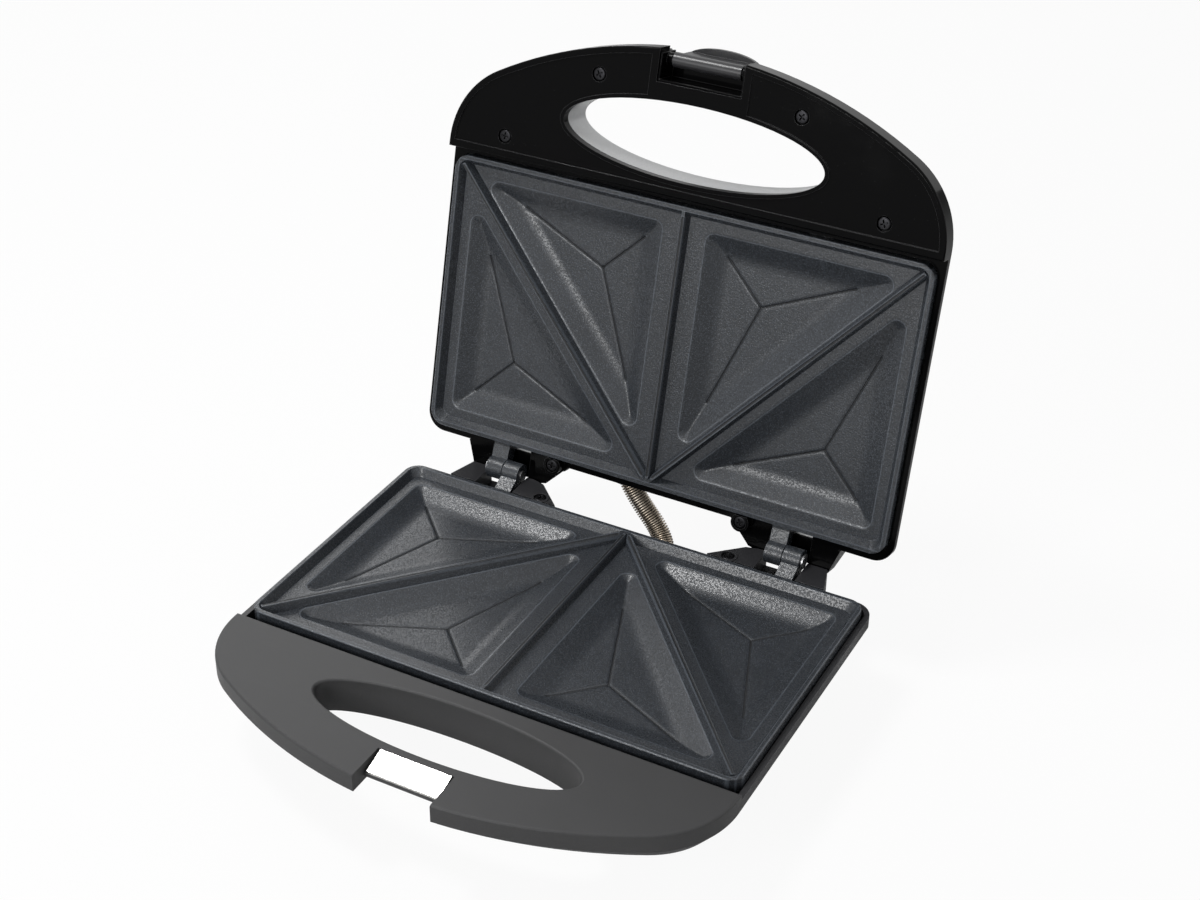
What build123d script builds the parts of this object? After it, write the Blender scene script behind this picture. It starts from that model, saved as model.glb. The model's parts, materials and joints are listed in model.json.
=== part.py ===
"""Sandwich toaster with two cast plates, a leaning lid and a flip-over latch.

Millimetres, +X to the right, +Y to the rear, +Z up. The origin is on the surface that the
toaster stands on, in the middle of the open toaster's depth. Both halves are drawn the same
way, about the middle of their plate: z is the depth behind the plate's rim, so the base is
that form turned upside down and the lid is that form set above it and swung open.
"""

from build123d import *
from math import cos, pi, sin
import os

os.makedirs("parts", exist_ok=True)

# ---------------------------------------------------------------- driving sizes
# Overall arrangement
RIM_HEIGHT = 42.0  # rim of the lower plate above the table
RIM_GAP = 2.0  # between the two rims when the lid is shut
LID_OPEN = 104.0  # degrees that the lid leans back from shut
RUNNING_GAP = 0.3  # between pieces that pass or face each other
ORIGIN_BACK = 9.9  # from the middle of the plates back to the origin

# Cast plates
PLATE_WIDTH = 226.0
PLATE_LENGTH = 128.0
PLATE_CORNER = 7.0
RIM_TOP = 2.0  # width of the rim's flat top
RIM_FLANK = 2.4  # how far the rim's inner flank runs in
LAND_DEPTH = 3.8  # rim top to the flat land
CASTING_WALL = 3.0
RIM_EDGE_BLEND = 0.6
RIB_TOP = 1.5
RIB_FLANK = 1.4
WELL_DEPTH = 4.7  # land to the floor of a well
WELL_WALL_RUN = 8.6  # plan width of a well's sloping wall
WELL_CORNER = 6.3
WELL_FLOOR_CORNER = 2.6
WELL_SIDE_MARGIN = 8.8  # plate edge to a well, at the sides and the rear
WELL_FRONT_MARGIN = 9.5
WELL_CENTRE_MARGIN = 10.2
OUTER_WELL_RIB_GAP = 9.2  # along x, from the diagonal rib to an outer well
INNER_WELL_RIB_GAP = 3.6
WELL_EDGE_BLEND = 4.5
WELL_FLOOR_BLEND = 6.0
GROOVE_WIDTH = 0.9
GROOVE_DEPTH = 0.5
GROOVE_REACH = 0.65  # part of the way from a well's middle to its corner

# Fixing lugs on the plates
LUG_THICKNESS = 2.5
LUG_WIDTH = 10.0
LUG_CORNER = 3.0
LUG_ROOT = 4.0  # how far a lug runs in under the land
FRONT_LUG_IN = 53.0  # in from the plates' side edge
FRONT_LUG_REACH = 10.5
REAR_LUG_IN = 23.0  # from a hinge in to the lug beside it
REAR_LUG_REACH = 7.6
REAR_LUG_HOLE_OUT = 3.4  # behind the plate's rear edge

# Hinges
HINGE_IN = 43.0  # in from the plates' side edge
HINGE_BACK = 12.3  # axis behind the plates' rear edge
HINGE_RISE = 2.0  # axis above the lower rim
ARM_WIDTH = 8.0
ARM_GAP = 0.4
KNUCKLE_RADIUS = 5.0
HINGE_PIN_RADIUS = 2.2
HINGE_PIN_HEAD = 3.2
PIN_FIT = 0.05
PIN_TIGHT = 0.01

# Shells of both halves
WALL = 2.4
PLATE_CLEARANCE = 0.6
HANDLE_REACH = 60.0  # how far the handle's arc runs out in front
HANDLE_SIDE_RADIUS = 40.0
HANDLE_START = 5.0  # front edge of the plates to the centre line of the side arcs
HANDLE_REAR_GAP = 3.0  # front edge of the plates to the raised handle face
REAR_CORNER = 9.0
HOUSING_LIP = 4.0  # shells' edge behind the rim
GRIP_OUT = 26.5  # plates' front edge to the middle of the grip hole
GRIP_HALF_WIDTH = 60.0
GRIP_HALF_DEPTH = 16.0
GRIP_WALL = 2.4
OUTER_SCREW_X = 88.6
OUTER_SCREW_OUT = 12.5  # plates' front edge to the outer handle screws
INNER_SCREW_X = 46.6
INNER_SCREW_OUT = 47.7
SCREW_SHANK = 1.5
SCREW_HEAD = 2.9
SCREW_HEAD_HEIGHT = 1.8
SCREW_BORE = 1.6
BOSS_RADIUS = 4.4
BORE_SPARE = 1.0  # a screw's bore runs on past its tip
LOWER_LUG_TIP = 17.0  # depths that the screws' tips reach
BASE_HINGE_TIP = 15.5
HANDLE_SCREW_TIP = 4.5
REFLECTOR_SCREW_TIP = 29.0
UPPER_LUG_TIP = 15.0
LID_HINGE_TIP = 16.0
FRAME_SCREW_TIP = 9.5
SCREW_HEAD_BLEND = 0.7

# Base
BASE_SKIRT = 9.2  # depth where the flared wall begins
BASE_FLARE = 38.0  # degrees from upright
BASE_HANDLE_ROOT = 20.5  # depth of the underside where the handle leaves the body
FOOT_HEIGHT = 4.0
FOOT_RADIUS = 8.0
FOOT_STEM = 3.0
FOOT_IN = 41.0  # in from the plates' side edge
FOOT_EDGE_BLEND = 0.8
FOOT_BARB = 0.8
FOOT_FROM_REAR = 8.5  # rear feet in from the plates' rear edge
FOOT_FROM_FRONT = 28.0
BASE_HANDLE_FACE = 1.2  # face of the lower handle below the lower rim
HANDLE_SKIN = 2.6
HANDLE_SEAT = 5.5  # depth of the housing's wall under the handle's rear edge
RIM_BLEND = 1.0

# Lid
LID_FACE = -2.4  # face of the lid's handle, beyond the upper rim towards the base
LID_SPLIT = 7.0  # depth where the black frame meets the silver shell
LID_FLARE = 34.0
LID_HEIGHT = 38.0
LID_HANDLE_HEIGHT = 17.5
LID_EDGE_BLEND = 0.9
BEAD_WIDTH = 2.4
PANEL_DROP = 0.7
PANEL_REAR_STRIP = 3.5
GRIP_SPARE = 0.5  # the lid's grip hole is this much wider all round

# Latch, in the lid's depth
LATCH_OUT = 59.0  # plates' front edge to the latch's pin
LATCH_PIVOT = 5.5
LATCH_HALF_WIDTH = 15.7
LATCH_ARM = 4.0
LATCH_REACH = 15.0  # pivot to the holding face of the tab
LATCH_TAB = 2.5
LATCH_TAB_OUT = 3.2
LATCH_TAB_ROOT = 1.5
LATCH_TAB_SIDE = 0.6
LATCH_CHAMFER = 0.4
LATCH_BARREL = 3.2
LATCH_PIN_RADIUS = 1.5
LID_NOTCH_HALF = 19.5
LID_NOTCH_OUT = 50.0
BASE_NOTCH_HALF = 17.2
CATCH_OUT = 46.3
CATCH_SLOPE = 3.2
CATCH_THICKNESS = 1.0

# Hinge ledges
LEDGE_INNER = 32.0  # from a hinge in to the ledge's end, at its root
LEDGE_INNER_REAR = 19.0
LEDGE_OUTER = 23.0
LEDGE_OUTER_REAR = 19.0
LEDGE_CHAMFER = (6.0, 1.5)
LEDGE_ROOT = 1.0  # behind the plates' rear edge
LEDGE_FOOT = 22.0  # depth of the base ledge's foot
LID_LEDGE_FOOT = 20.0
LID_LEDGE_INSET = 1.7
BASE_BOSS_FOOT = 18.0
LID_BOSS_FOOT = 20.0
LID_LEDGE_BEHIND = 3.7  # lid ledge past the hinge axis
SLOT_CLEARANCE = 1.4
BASE_LEDGE_FACE = 2.5  # base ledge below the hinge axis

# Conduit between the halves
CONDUIT_RADIUS = 4.7
CONDUIT_WIRE = 0.5
CONDUIT_PITCH = 2.6
CONDUIT_BEND = 14.0
CONDUIT_BASE_X = 12.6
CONDUIT_BASE_DEPTH = 23.0
CONDUIT_BASE_RUN = 27.3  # from its seat straight back to the first corner of its route
CONDUIT_LID_X = -15.0
COIL_STEP = 0.01  # part of a turn, for the wire's direction
COIL_CHECKS = 24  # points a turn that the gap is measured on
CONDUIT_LID_DEPTH = 14.4
CONDUIT_LID_RUN = 18.6
FERRULE_SEAT = 2.0  # shoulder inside the wall's outer face
FERRULE_WALL = 0.8
FERRULE_FLANGE = 1.6
FERRULE_LIP = 1.2

# Cord gland in the rear wall
GLAND_X = -30.0
GLAND_DEPTH = 22.0
GLAND_RADIUS = 5.5
GLAND_LIP = 1.8
GLAND_BORE = 3.6

# Heating
ELEMENT_RADIUS = 3.25
ELEMENT_SIDE_MARGIN = 29.0  # plates' edges to the element's middle line
ELEMENT_REAR_MARGIN = 24.0
ELEMENT_FRONT_MARGIN = 28.0
ELEMENT_BEND = 14.0
ELEMENT_TAIL_X = 14.0
ELEMENT_TAIL_MARGIN = 5.0
ELEMENT_PIN_RADIUS = 1.2
ELEMENT_PIN_LENGTH = 4.0
ELEMENT_FIT = 0.2
REFLECTOR_SHEET = 0.8
REFLECTOR_SIDE_MARGIN = 21.0  # plates' edges to the reflector's walls
REFLECTOR_REAR_MARGIN = 9.0
REFLECTOR_FRONT_MARGIN = 14.0
REFLECTOR_CORNER = 8.0
REFLECTOR_DEPTH = 22.0
REFLECTOR_WALL = 8.0
REFLECTOR_SCREW_X = 50.0
REFLECTOR_SCREW_Y = 6.0
TAB_WIDTH = 10.0
TAB_X = 46.0
TAIL_ROOM = 0.5
THERMOSTAT_RADIUS = 9.0
THERMOSTAT_HEIGHT = 5.0
THERMOSTAT_Y = 6.0
THERMOSTAT_STUD = 2.0
BLADE_X = (4.0, 4.8)
BLADE_HALF = 3.0
BLADE_REACH = 3.5
FUSE_RADIUS = 2.0
FUSE_LENGTH = 13.0
FUSE_PLACE = (30.0, 26.0)
FUSE_LEAD = 0.6
FUSE_LEAD_REACH = 5.0
FUSE_CLIP = (4.0, 9.0)
FUSE_CLIP_HALF = 3.0
FUSE_LIFT = 0.8
TERMINAL_X = (-46.0, -14.0)
TERMINAL_MARGINS = (28.0, 16.0)  # plates' rear edge to the block's front and back
TERMINAL_WAYS = 3
TERMINAL_WELL = (2.0, 5.0)  # radius and depth
TERMINAL_BORE = 1.8
TERMINAL_BORE_DROP = 6.5
TERMINAL_HEIGHT = 10.0

# Indicator lamps in the top of the lid
LAMP_X = 13.0
LAMP_Y = -26.0
LAMP_RADIUS = 2.4
LAMP_LENGTH = 7.0
LENS_RADIUS = 4.4
LENS_FLANGE = 1.0
HOLDER_SHEET = 2.4
HOLDER_LEG_OUT = 9.0
HOLDER_LEG_RADIUS = 2.5
HOLDER_HALF_DEPTH = 5.0
LENS_FLANGE_OUT = 1.2

# Blocks that cut or trim run this far past what they cut
PAST = 5.0
WIDE = 200.0

# ---------------------------------------------------------------- places that follow
PLATE_REAR = PLATE_LENGTH / 2
PLATE_FRONT = -PLATE_LENGTH / 2
HALF_WIDTH = PLATE_WIDTH / 2 + PLATE_CLEARANCE + WALL
REAR_Y = PLATE_REAR + PLATE_CLEARANCE + WALL + 1.0
HINGE_X = PLATE_WIDTH / 2 - HINGE_IN
HINGE_Y = PLATE_REAR + HINGE_BACK
HINGE_Z = RIM_HEIGHT + HINGE_RISE
HINGE_AXIS = Axis((0, HINGE_Y, HINGE_Z), (1, 0, 0))
FRONT_LUG_X = PLATE_WIDTH / 2 - FRONT_LUG_IN
REAR_LUG_X = HINGE_X - REAR_LUG_IN
FOOT_X = PLATE_WIDTH / 2 - FOOT_IN
LEDGE_INNER_X = HINGE_X - LEDGE_INNER
LEDGE_INNER_REAR_X = HINGE_X - LEDGE_INNER_REAR
LEDGE_OUTER_X = HINGE_X + LEDGE_OUTER
LEDGE_OUTER_REAR_X = HINGE_X + LEDGE_OUTER_REAR
GRIP_Y = PLATE_FRONT - GRIP_OUT
LATCH_Y = PLATE_FRONT - LATCH_OUT
LID_NOTCH_Y = PLATE_FRONT - LID_NOTCH_OUT
CATCH_REAR_Y = PLATE_FRONT - CATCH_OUT
ELEMENT_HALF_WIDTH = PLATE_WIDTH / 2 - ELEMENT_SIDE_MARGIN
ELEMENT_REAR_Y = PLATE_REAR - ELEMENT_REAR_MARGIN
ELEMENT_FRONT_Y = PLATE_FRONT + ELEMENT_FRONT_MARGIN
ELEMENT_TAIL_Y = PLATE_REAR - ELEMENT_TAIL_MARGIN
REFLECTOR_HALF_WIDTH = PLATE_WIDTH / 2 - REFLECTOR_SIDE_MARGIN
REFLECTOR_REAR_Y = PLATE_REAR - REFLECTOR_REAR_MARGIN
REFLECTOR_FRONT_Y = PLATE_FRONT + REFLECTOR_FRONT_MARGIN
TERMINAL_Y = tuple(PLATE_REAR - margin for margin in TERMINAL_MARGINS)
HANDLE_Y = PLATE_FRONT - HANDLE_START
HANDLE_EDGE_Y = PLATE_FRONT - HANDLE_REAR_GAP
HANDLE_TIP_Y = HANDLE_Y - HANDLE_REACH
SHEET_DEPTH = LAND_DEPTH + CASTING_WALL
LUG_DEPTH = SHEET_DEPTH - 0.1
WELL_FLOOR = LAND_DEPTH + WELL_DEPTH
WELL_BACK = WELL_FLOOR + CASTING_WALL - 0.2
ELEMENT_DEPTH = WELL_BACK + RUNNING_GAP + ELEMENT_RADIUS
BASE_DEPTH = RIM_HEIGHT - FOOT_HEIGHT
FOOT_REAR_Y = PLATE_REAR - FOOT_FROM_REAR
FOOT_FRONT_Y = PLATE_FRONT + FOOT_FROM_FRONT
LIP_FRONT_Y = LATCH_Y + LATCH_ARM / 2 + RUNNING_GAP
LIP_BOTTOM = LATCH_REACH - LATCH_PIVOT - RIM_GAP - RUNNING_GAP
REAR_LUG_Y = PLATE_REAR + REAR_LUG_HOLE_OUT
FRONT_LUG_Y = PLATE_FRONT - FRONT_LUG_REACH + 4.0
LUG_BACK = LUG_DEPTH + LUG_THICKNESS
LUG_HEAD_TOP = LUG_DEPTH - SCREW_HEAD_HEIGHT - RUNNING_GAP
BASE_FLOOR = BASE_DEPTH - WALL
LID_TOP = LID_HEIGHT - WALL
REFLECTOR_BACK = REFLECTOR_DEPTH + REFLECTOR_SHEET
NOTCH_CHEEK = BASE_NOTCH_HALF + WALL
LID_CHEEK = LID_NOTCH_HALF + WALL
LATCH_PIN_REACH = LID_CHEEK - 0.5
HANDLE_SCREW_SEAT = BASE_SKIRT + 1.2
FRAME_SCREW_SEAT = LID_FACE + PANEL_DROP + SCREW_HEAD_HEIGHT
FRAME_BOSS_END = FRAME_SCREW_SEAT + 1.5
BASE_BOSS_TOP = 0.2
LID_BOSS_TOP = -0.5
BASE_LEDGE_TOP = BASE_LEDGE_FACE - HINGE_RISE
BASE_LEDGE_REAR = HINGE_Y + LID_LEDGE_BEHIND - 1.0
LID_LEDGE_REAR = HINGE_Y + LID_LEDGE_BEHIND
REAR_LUG_TIP = PLATE_REAR + REAR_LUG_REACH + RUNNING_GAP
CATCH_BOTTOM_REAR = BASE_HANDLE_FACE + CATCH_THICKNESS
CATCH_BOTTOM_FRONT = CATCH_BOTTOM_REAR + CATCH_SLOPE
LIP_RUN = CATCH_REAR_Y - LIP_FRONT_Y
HOUSING_NOTCH_Y = LIP_FRONT_Y + 7.5
CHEEK_Y = (HANDLE_TIP_Y + 3.0, LID_NOTCH_Y + WALL)
SCREW_ROOM = SCREW_HEAD + 0.4
GLAND_HOLE = GLAND_RADIUS + 0.1
FERRULE_BORE = CONDUIT_RADIUS + RUNNING_GAP
FERRULE_SLEEVE = FERRULE_BORE + FERRULE_WALL
FERRULE_HOLE = FERRULE_SLEEVE + 0.1
CLEAR_FRONT = HANDLE_TIP_Y - PAST
CLEAR_REAR = REAR_Y + PAST
LIP_ROOT_Y = CATCH_REAR_Y + 0.8
LIP_UNDERCUT_Y = CATCH_REAR_Y - 4.7
HEAD_ROOM = SCREW_HEAD + 0.1
CHEEK_SEAM = 9.0  # depth where the frame's cheeks end and the shell's begin


def both_sides(x, y):
    """The same place right and left of the middle."""
    return [(x, y), (-x, y)]


FRONT_LUGS = both_sides(FRONT_LUG_X, FRONT_LUG_Y)
REAR_LUGS = both_sides(REAR_LUG_X, REAR_LUG_Y)
OUTER_SCREWS = both_sides(OUTER_SCREW_X, PLATE_FRONT - OUTER_SCREW_OUT)
INNER_SCREWS = both_sides(INNER_SCREW_X, PLATE_FRONT - INNER_SCREW_OUT)
HANDLE_SCREWS = OUTER_SCREWS + INNER_SCREWS
REFLECTOR_SCREWS = both_sides(REFLECTOR_SCREW_X, REFLECTOR_SCREW_Y)
FOOT_PLACES = both_sides(FOOT_X, FOOT_REAR_Y) + both_sides(FOOT_X, FOOT_FRONT_Y)
LAMP_PLACES = both_sides(LAMP_X, LAMP_Y)


def in_place(piece):
    """Shift a piece from the drawing's middle, that of the plates, to the model's origin."""
    return piece.moved(Location((0, -ORIGIN_BACK, 0)))


def in_base(piece):
    """Turn a piece drawn by depth over, so that it faces up, at the lower rim's height."""
    return in_place(piece.mirror(Plane.XY).moved(Location((0, 0, RIM_HEIGHT))))


def in_lid(piece):
    """Set a piece drawn by depth above the shut rims, then swing it back with the lid."""
    shut = piece.moved(Location((0, 0, RIM_HEIGHT + RIM_GAP)))
    return in_place(shut.rotate(HINGE_AXIS, -LID_OPEN))


# ---------------------------------------------------------------- cast plates
def rib_line_x(y):
    """Distance of the diagonal rib from the middle at a given y."""
    return (PLATE_REAR - RIM_TOP - y) * (PLATE_WIDTH / 2 - RIM_TOP) / (PLATE_LENGTH - 2 * RIM_TOP)


def outer_well_corners():
    """Corners of the right-hand outer well: square one first, at the rear outer corner."""
    rear = PLATE_REAR - WELL_SIDE_MARGIN
    side = PLATE_WIDTH / 2 - WELL_SIDE_MARGIN
    slope = (PLATE_WIDTH / 2 - RIM_TOP) / (PLATE_LENGTH - 2 * RIM_TOP)
    inner = rib_line_x(rear) + OUTER_WELL_RIB_GAP
    return [(side, rear), (inner, rear), (side, rear - (side - inner) / slope)]


def inner_well_corners():
    """Corners of the right-hand inner well: square one first, at the front middle."""
    front = PLATE_FRONT + WELL_FRONT_MARGIN
    slope = (PLATE_WIDTH / 2 - RIM_TOP) / (PLATE_LENGTH - 2 * RIM_TOP)
    outer = rib_line_x(front) - INNER_WELL_RIB_GAP
    rise = (outer - WELL_CENTRE_MARGIN) / slope
    return [(WELL_CENTRE_MARGIN, front), (outer, front), (WELL_CENTRE_MARGIN, front + rise)]


def incentre(corners):
    """Middle of the circle that touches all three sides, and that circle's radius."""
    points = [Vector(*corner) for corner in corners]
    sides = [
        (points[1] - points[2]).length,
        (points[2] - points[0]).length,
        (points[0] - points[1]).length,
    ]
    total = sum(sides)
    middle = sum((point * side for point, side in zip(points, sides)), Vector()) / total
    return middle, (sides[1] + sides[2] - sides[0]) / 2


def triangle_sketch(corners, inset, corner_radius, depth):
    """A rounded triangle that lies inset from the given corners, at one depth."""
    middle, radius = incentre(corners)
    share = 1 - inset / radius
    with BuildSketch(Plane.XY.offset(depth)) as triangle:
        with BuildLine():
            Polyline([middle + (Vector(*corner) - middle) * share for corner in corners], close=True)
        make_face()
        fillet(triangle.vertices(), corner_radius)
    return triangle.sketch


def rib(start, end):
    """A rib with sloping flanks that stands from the land up to the rim's level."""
    run = Vector(*end) - Vector(*start)
    across = Plane(origin=(*start, 0), x_dir=Vector(-run.Y, run.X), z_dir=run)
    foot = RIB_TOP / 2 + RIB_FLANK
    inward = LAND_DEPTH + 1.0
    # the sketch plane's own y points along +z or -z, so the profile is drawn to suit
    sense = 1 if across.y_dir.Z > 0 else -1
    with BuildPart() as piece:
        with BuildSketch(across):
            with BuildLine():
                Polyline(
                    (-RIB_TOP / 2, 0),
                    (RIB_TOP / 2, 0),
                    (foot, sense * LAND_DEPTH),
                    (foot, sense * inward),
                    (-foot, sense * inward),
                    (-foot, sense * LAND_DEPTH),
                    close=True,
                )
            make_face()
        extrude(amount=run.length)
    return piece.part


def hinge_arm(centre_x, axis_depth):
    """A cast arm from the back of a plate to its knuckle, bored for the pin."""
    root_y = PLATE_REAR - 1.5
    with BuildPart() as arm:
        with BuildSketch(Plane.YZ.offset(centre_x - ARM_WIDTH / 2)):
            with BuildLine():
                Polyline(
                    (root_y, 1.2),
                    (root_y, SHEET_DEPTH),
                    (PLATE_REAR + 4.0, SHEET_DEPTH),
                    (HINGE_Y, axis_depth + KNUCKLE_RADIUS),
                    (HINGE_Y, axis_depth),
                    (HINGE_Y - KNUCKLE_RADIUS, axis_depth),
                    (PLATE_REAR + 1.5, 1.2),
                    close=True,
                )
            make_face()
            with Locations((HINGE_Y, axis_depth)):
                Circle(KNUCKLE_RADIUS)
        extrude(amount=ARM_WIDTH)
    return arm.part


def cast_plate(arm_side, axis_depth, bore):
    """One plate: rim, land, ribs, wells, score grooves, fixing lugs and hinge arms."""
    wells = [outer_well_corners(), inner_well_corners()]
    with BuildPart() as plate:
        with BuildSketch():
            RectangleRounded(PLATE_WIDTH, PLATE_LENGTH, PLATE_CORNER)
        extrude(amount=SHEET_DEPTH)
        fillet(plate.edges().group_by(Axis.Z)[0], RIM_EDGE_BLEND)

        # the land, sunk inside the sloping rim
        with BuildSketch():
            RectangleRounded(
                PLATE_WIDTH - 2 * RIM_TOP, PLATE_LENGTH - 2 * RIM_TOP, PLATE_CORNER - RIM_TOP
            )
        with BuildSketch(Plane.XY.offset(LAND_DEPTH)):
            RectangleRounded(
                PLATE_WIDTH - 2 * (RIM_TOP + RIM_FLANK),
                PLATE_LENGTH - 2 * (RIM_TOP + RIM_FLANK),
                PLATE_CORNER - RIM_TOP - RIM_FLANK / 2,
            )
        loft(ruled=True, mode=Mode.SUBTRACT)

        # the backs of the wells, then the wells themselves
        for corners in wells:
            add(well_solid(corners, -CASTING_WALL, SHEET_DEPTH - 0.5, WELL_BACK))
        for corners in wells:
            add(well_solid(corners, 0, LAND_DEPTH, WELL_FLOOR), mode=Mode.SUBTRACT)
        land = plate.faces().filter_by_position(Axis.Z, LAND_DEPTH, LAND_DEPTH).sort_by(SortBy.AREA)[-1]
        fillet([edge for wire in land.inner_wires() for edge in wire.edges()], WELL_EDGE_BLEND)
        for corners in wells:
            add(score_grooves(corners), mode=Mode.SUBTRACT)
        with BuildSketch():
            with Locations((-PLATE_WIDTH / 2, 0)):
                Rectangle(PLATE_WIDTH, 2 * PLATE_LENGTH)
        extrude(amount=WELL_BACK + 1, mode=Mode.SUBTRACT)
        mirror(about=Plane.YZ)

        # ribs: one down the middle and two to the front corners
        add(rib((0, PLATE_FRONT + 1.2), (0, PLATE_REAR - 1.2)))
        for side in (-1, 1):
            end_y = PLATE_FRONT + 4.0
            add(rib((0, PLATE_REAR - 1.2), (side * (rib_line_x(end_y) - 0.4), end_y)))

        # fixing lugs, front and rear
        for side in (-1, 1):
            with BuildSketch(Plane.XY.offset(LUG_DEPTH)):
                front_middle = PLATE_FRONT - (FRONT_LUG_REACH - LUG_ROOT) / 2
                rear_middle = PLATE_REAR + (REAR_LUG_REACH - LUG_ROOT) / 2
                with Locations((side * FRONT_LUG_X, front_middle)):
                    RectangleRounded(LUG_WIDTH, FRONT_LUG_REACH + LUG_ROOT, LUG_CORNER)
                with Locations((side * REAR_LUG_X, rear_middle)):
                    RectangleRounded(LUG_WIDTH, REAR_LUG_REACH + LUG_ROOT, LUG_CORNER)
            extrude(amount=LUG_THICKNESS)
        with Locations(*[(side * FRONT_LUG_X, FRONT_LUG_Y, LUG_DEPTH) for side in (-1, 1)]):
            Cylinder(SCREW_BORE + 0.1, 4 * LUG_THICKNESS, mode=Mode.SUBTRACT)
        with Locations(*[(side * REAR_LUG_X, REAR_LUG_Y, LUG_DEPTH) for side in (-1, 1)]):
            Cylinder(SCREW_BORE + 0.1, 4 * LUG_THICKNESS, mode=Mode.SUBTRACT)

        # hinge arms
        for hinge_x in (-HINGE_X, HINGE_X):
            centre = hinge_x + arm_side * (ARM_WIDTH + ARM_GAP) / 2
            add(hinge_arm(centre, axis_depth))
        with BuildSketch(Plane.YZ.offset(-PLATE_WIDTH / 2)):
            with Locations((HINGE_Y, axis_depth)):
                Circle(bore)
        extrude(amount=PLATE_WIDTH, mode=Mode.SUBTRACT)
    return plate.part


def well_solid(corners, grow, start_depth, end_depth):
    """The sloping-sided solid of one well, between two depths."""
    with BuildPart() as well:
        add(triangle_sketch(corners, grow, WELL_CORNER - grow, start_depth))
        add(triangle_sketch(corners, grow + WELL_WALL_RUN, WELL_FLOOR_CORNER - grow, end_depth))
        loft(ruled=True)
        fillet(well.faces().sort_by(Axis.Z)[-1].edges(), WELL_FLOOR_BLEND)
    return well.part


def score_grooves(corners):
    """Three fine grooves that run from the middle of a well towards its corners."""
    middle, _ = incentre(corners)
    with BuildPart() as grooves:
        with BuildSketch(Plane.XY.offset(WELL_FLOOR - GROOVE_DEPTH)):
            with BuildLine():
                for corner in corners:
                    Line(middle, middle + (Vector(*corner) - middle) * GROOVE_REACH)
            trace(line_width=GROOVE_WIDTH)
        extrude(amount=2 * GROOVE_DEPTH)
    return grooves.part


with BuildPart() as lower_plate:
    add(in_base(cast_plate(1, -HINGE_RISE, HINGE_PIN_RADIUS + PIN_TIGHT)))
lower_plate.part.label = "lower_plate"
export_step(lower_plate.part, "parts/lower_plate.step")

with BuildPart() as upper_plate:
    add(in_lid(cast_plate(-1, 0, HINGE_PIN_RADIUS + PIN_FIT)))
upper_plate.part.label = "upper_plate"
export_step(upper_plate.part, "parts/upper_plate.step")


# ---------------------------------------------------------------- moulded bodies
def handle_outline(inset, depth, rear_y):
    """Plan of a half: straight sides and a three-arc front, drawn inset, at one depth."""
    side = HALF_WIDTH - inset
    side_radius = HANDLE_SIDE_RADIUS - inset
    arc_x = HALF_WIDTH - HANDLE_SIDE_RADIUS
    rise = HANDLE_REACH - HANDLE_SIDE_RADIUS
    front_centre = (arc_x**2 - rise**2) / (2 * rise)
    front_radius = front_centre + HANDLE_REACH - inset
    reach = (arc_x**2 + front_centre**2) ** 0.5
    joint_x = front_radius * arc_x / reach
    joint_y = HANDLE_Y + front_centre - front_radius * front_centre / reach
    with BuildSketch(Plane.XY.offset(depth)) as outline:
        with BuildLine():
            Polyline((side, HANDLE_Y), (side, rear_y), (-side, rear_y), (-side, HANDLE_Y))
            RadiusArc((-side, HANDLE_Y), (-joint_x, joint_y), -side_radius)
            RadiusArc((-joint_x, joint_y), (joint_x, joint_y), -front_radius)
            RadiusArc((joint_x, joint_y), (side, HANDLE_Y), -side_radius)
        make_face()
    return outline.sketch


def moulded_body(profile, blends, flare_depth, flare, inset):
    """A half's solid form: upright skirt, flared wall, trimmed by its side profile."""
    height = max(depth for _, depth in profile)
    far_rear = REAR_Y + height + 10.0
    with BuildPart() as body:
        add(handle_outline(inset, LID_FACE - 2.0, far_rear))
        extrude(amount=flare_depth - LID_FACE + 2.0)
        add(handle_outline(inset, flare_depth, far_rear))
        extrude(amount=height - flare_depth, taper=flare)
        with BuildSketch(Plane.YZ):
            with BuildLine():
                corners = [(REAR_Y, -30.0)] + profile + [(HANDLE_TIP_Y - 20.0, -30.0)]
                FilletPolyline(*corners, radius=[0] + blends + [0], close=True)
            make_face()
            if inset > 0:
                offset(amount=-inset, kind=Kind.INTERSECTION, mode=Mode.REPLACE)
        extrude(amount=2 * HALF_WIDTH, both=True, mode=Mode.INTERSECT)
        rear_edges = body.edges().filter_by(Axis.Z).group_by(Axis.Y)[-1]
        fillet(rear_edges, REAR_CORNER - inset)
    return body.part


BASE_PROFILE = [
    (REAR_Y, BASE_DEPTH - 3.0),
    (REAR_Y - 3.0, BASE_DEPTH),
    (PLATE_FRONT + 14.0, BASE_DEPTH),
    (PLATE_FRONT - 2.0, BASE_HANDLE_ROOT),
    (HANDLE_TIP_Y - 20.0, BASE_SKIRT - 3.5),
]
BASE_BLENDS = [3.0, 3.0, 12.0, 14.0, 0]
LID_PROFILE = [
    (REAR_Y, LID_HEIGHT - 12.0),
    (REAR_Y - 10.0, LID_HEIGHT),
    (PLATE_FRONT + 18.0, LID_HEIGHT),
    (PLATE_FRONT + 2.0, LID_HANDLE_HEIGHT + 1.0),
    (HANDLE_TIP_Y + 6.0, LID_HANDLE_HEIGHT - 0.5),
    (HANDLE_TIP_Y - 1.0, LID_SPLIT),
]
LID_BLENDS = [12.0, 14.0, 16.0, 14.0, 8.0, 0]


def base_form(inset):
    """The base's solid form, inset evenly."""
    return moulded_body(BASE_PROFILE, BASE_BLENDS, BASE_SKIRT, BASE_FLARE, inset)


def lid_form(inset):
    """The lid's solid form, inset evenly."""
    return moulded_body(LID_PROFILE, LID_BLENDS, LID_SPLIT, LID_FLARE, inset)


BASE_OUTSIDE = base_form(0)
LID_OUTSIDE = lid_form(0)


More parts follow.
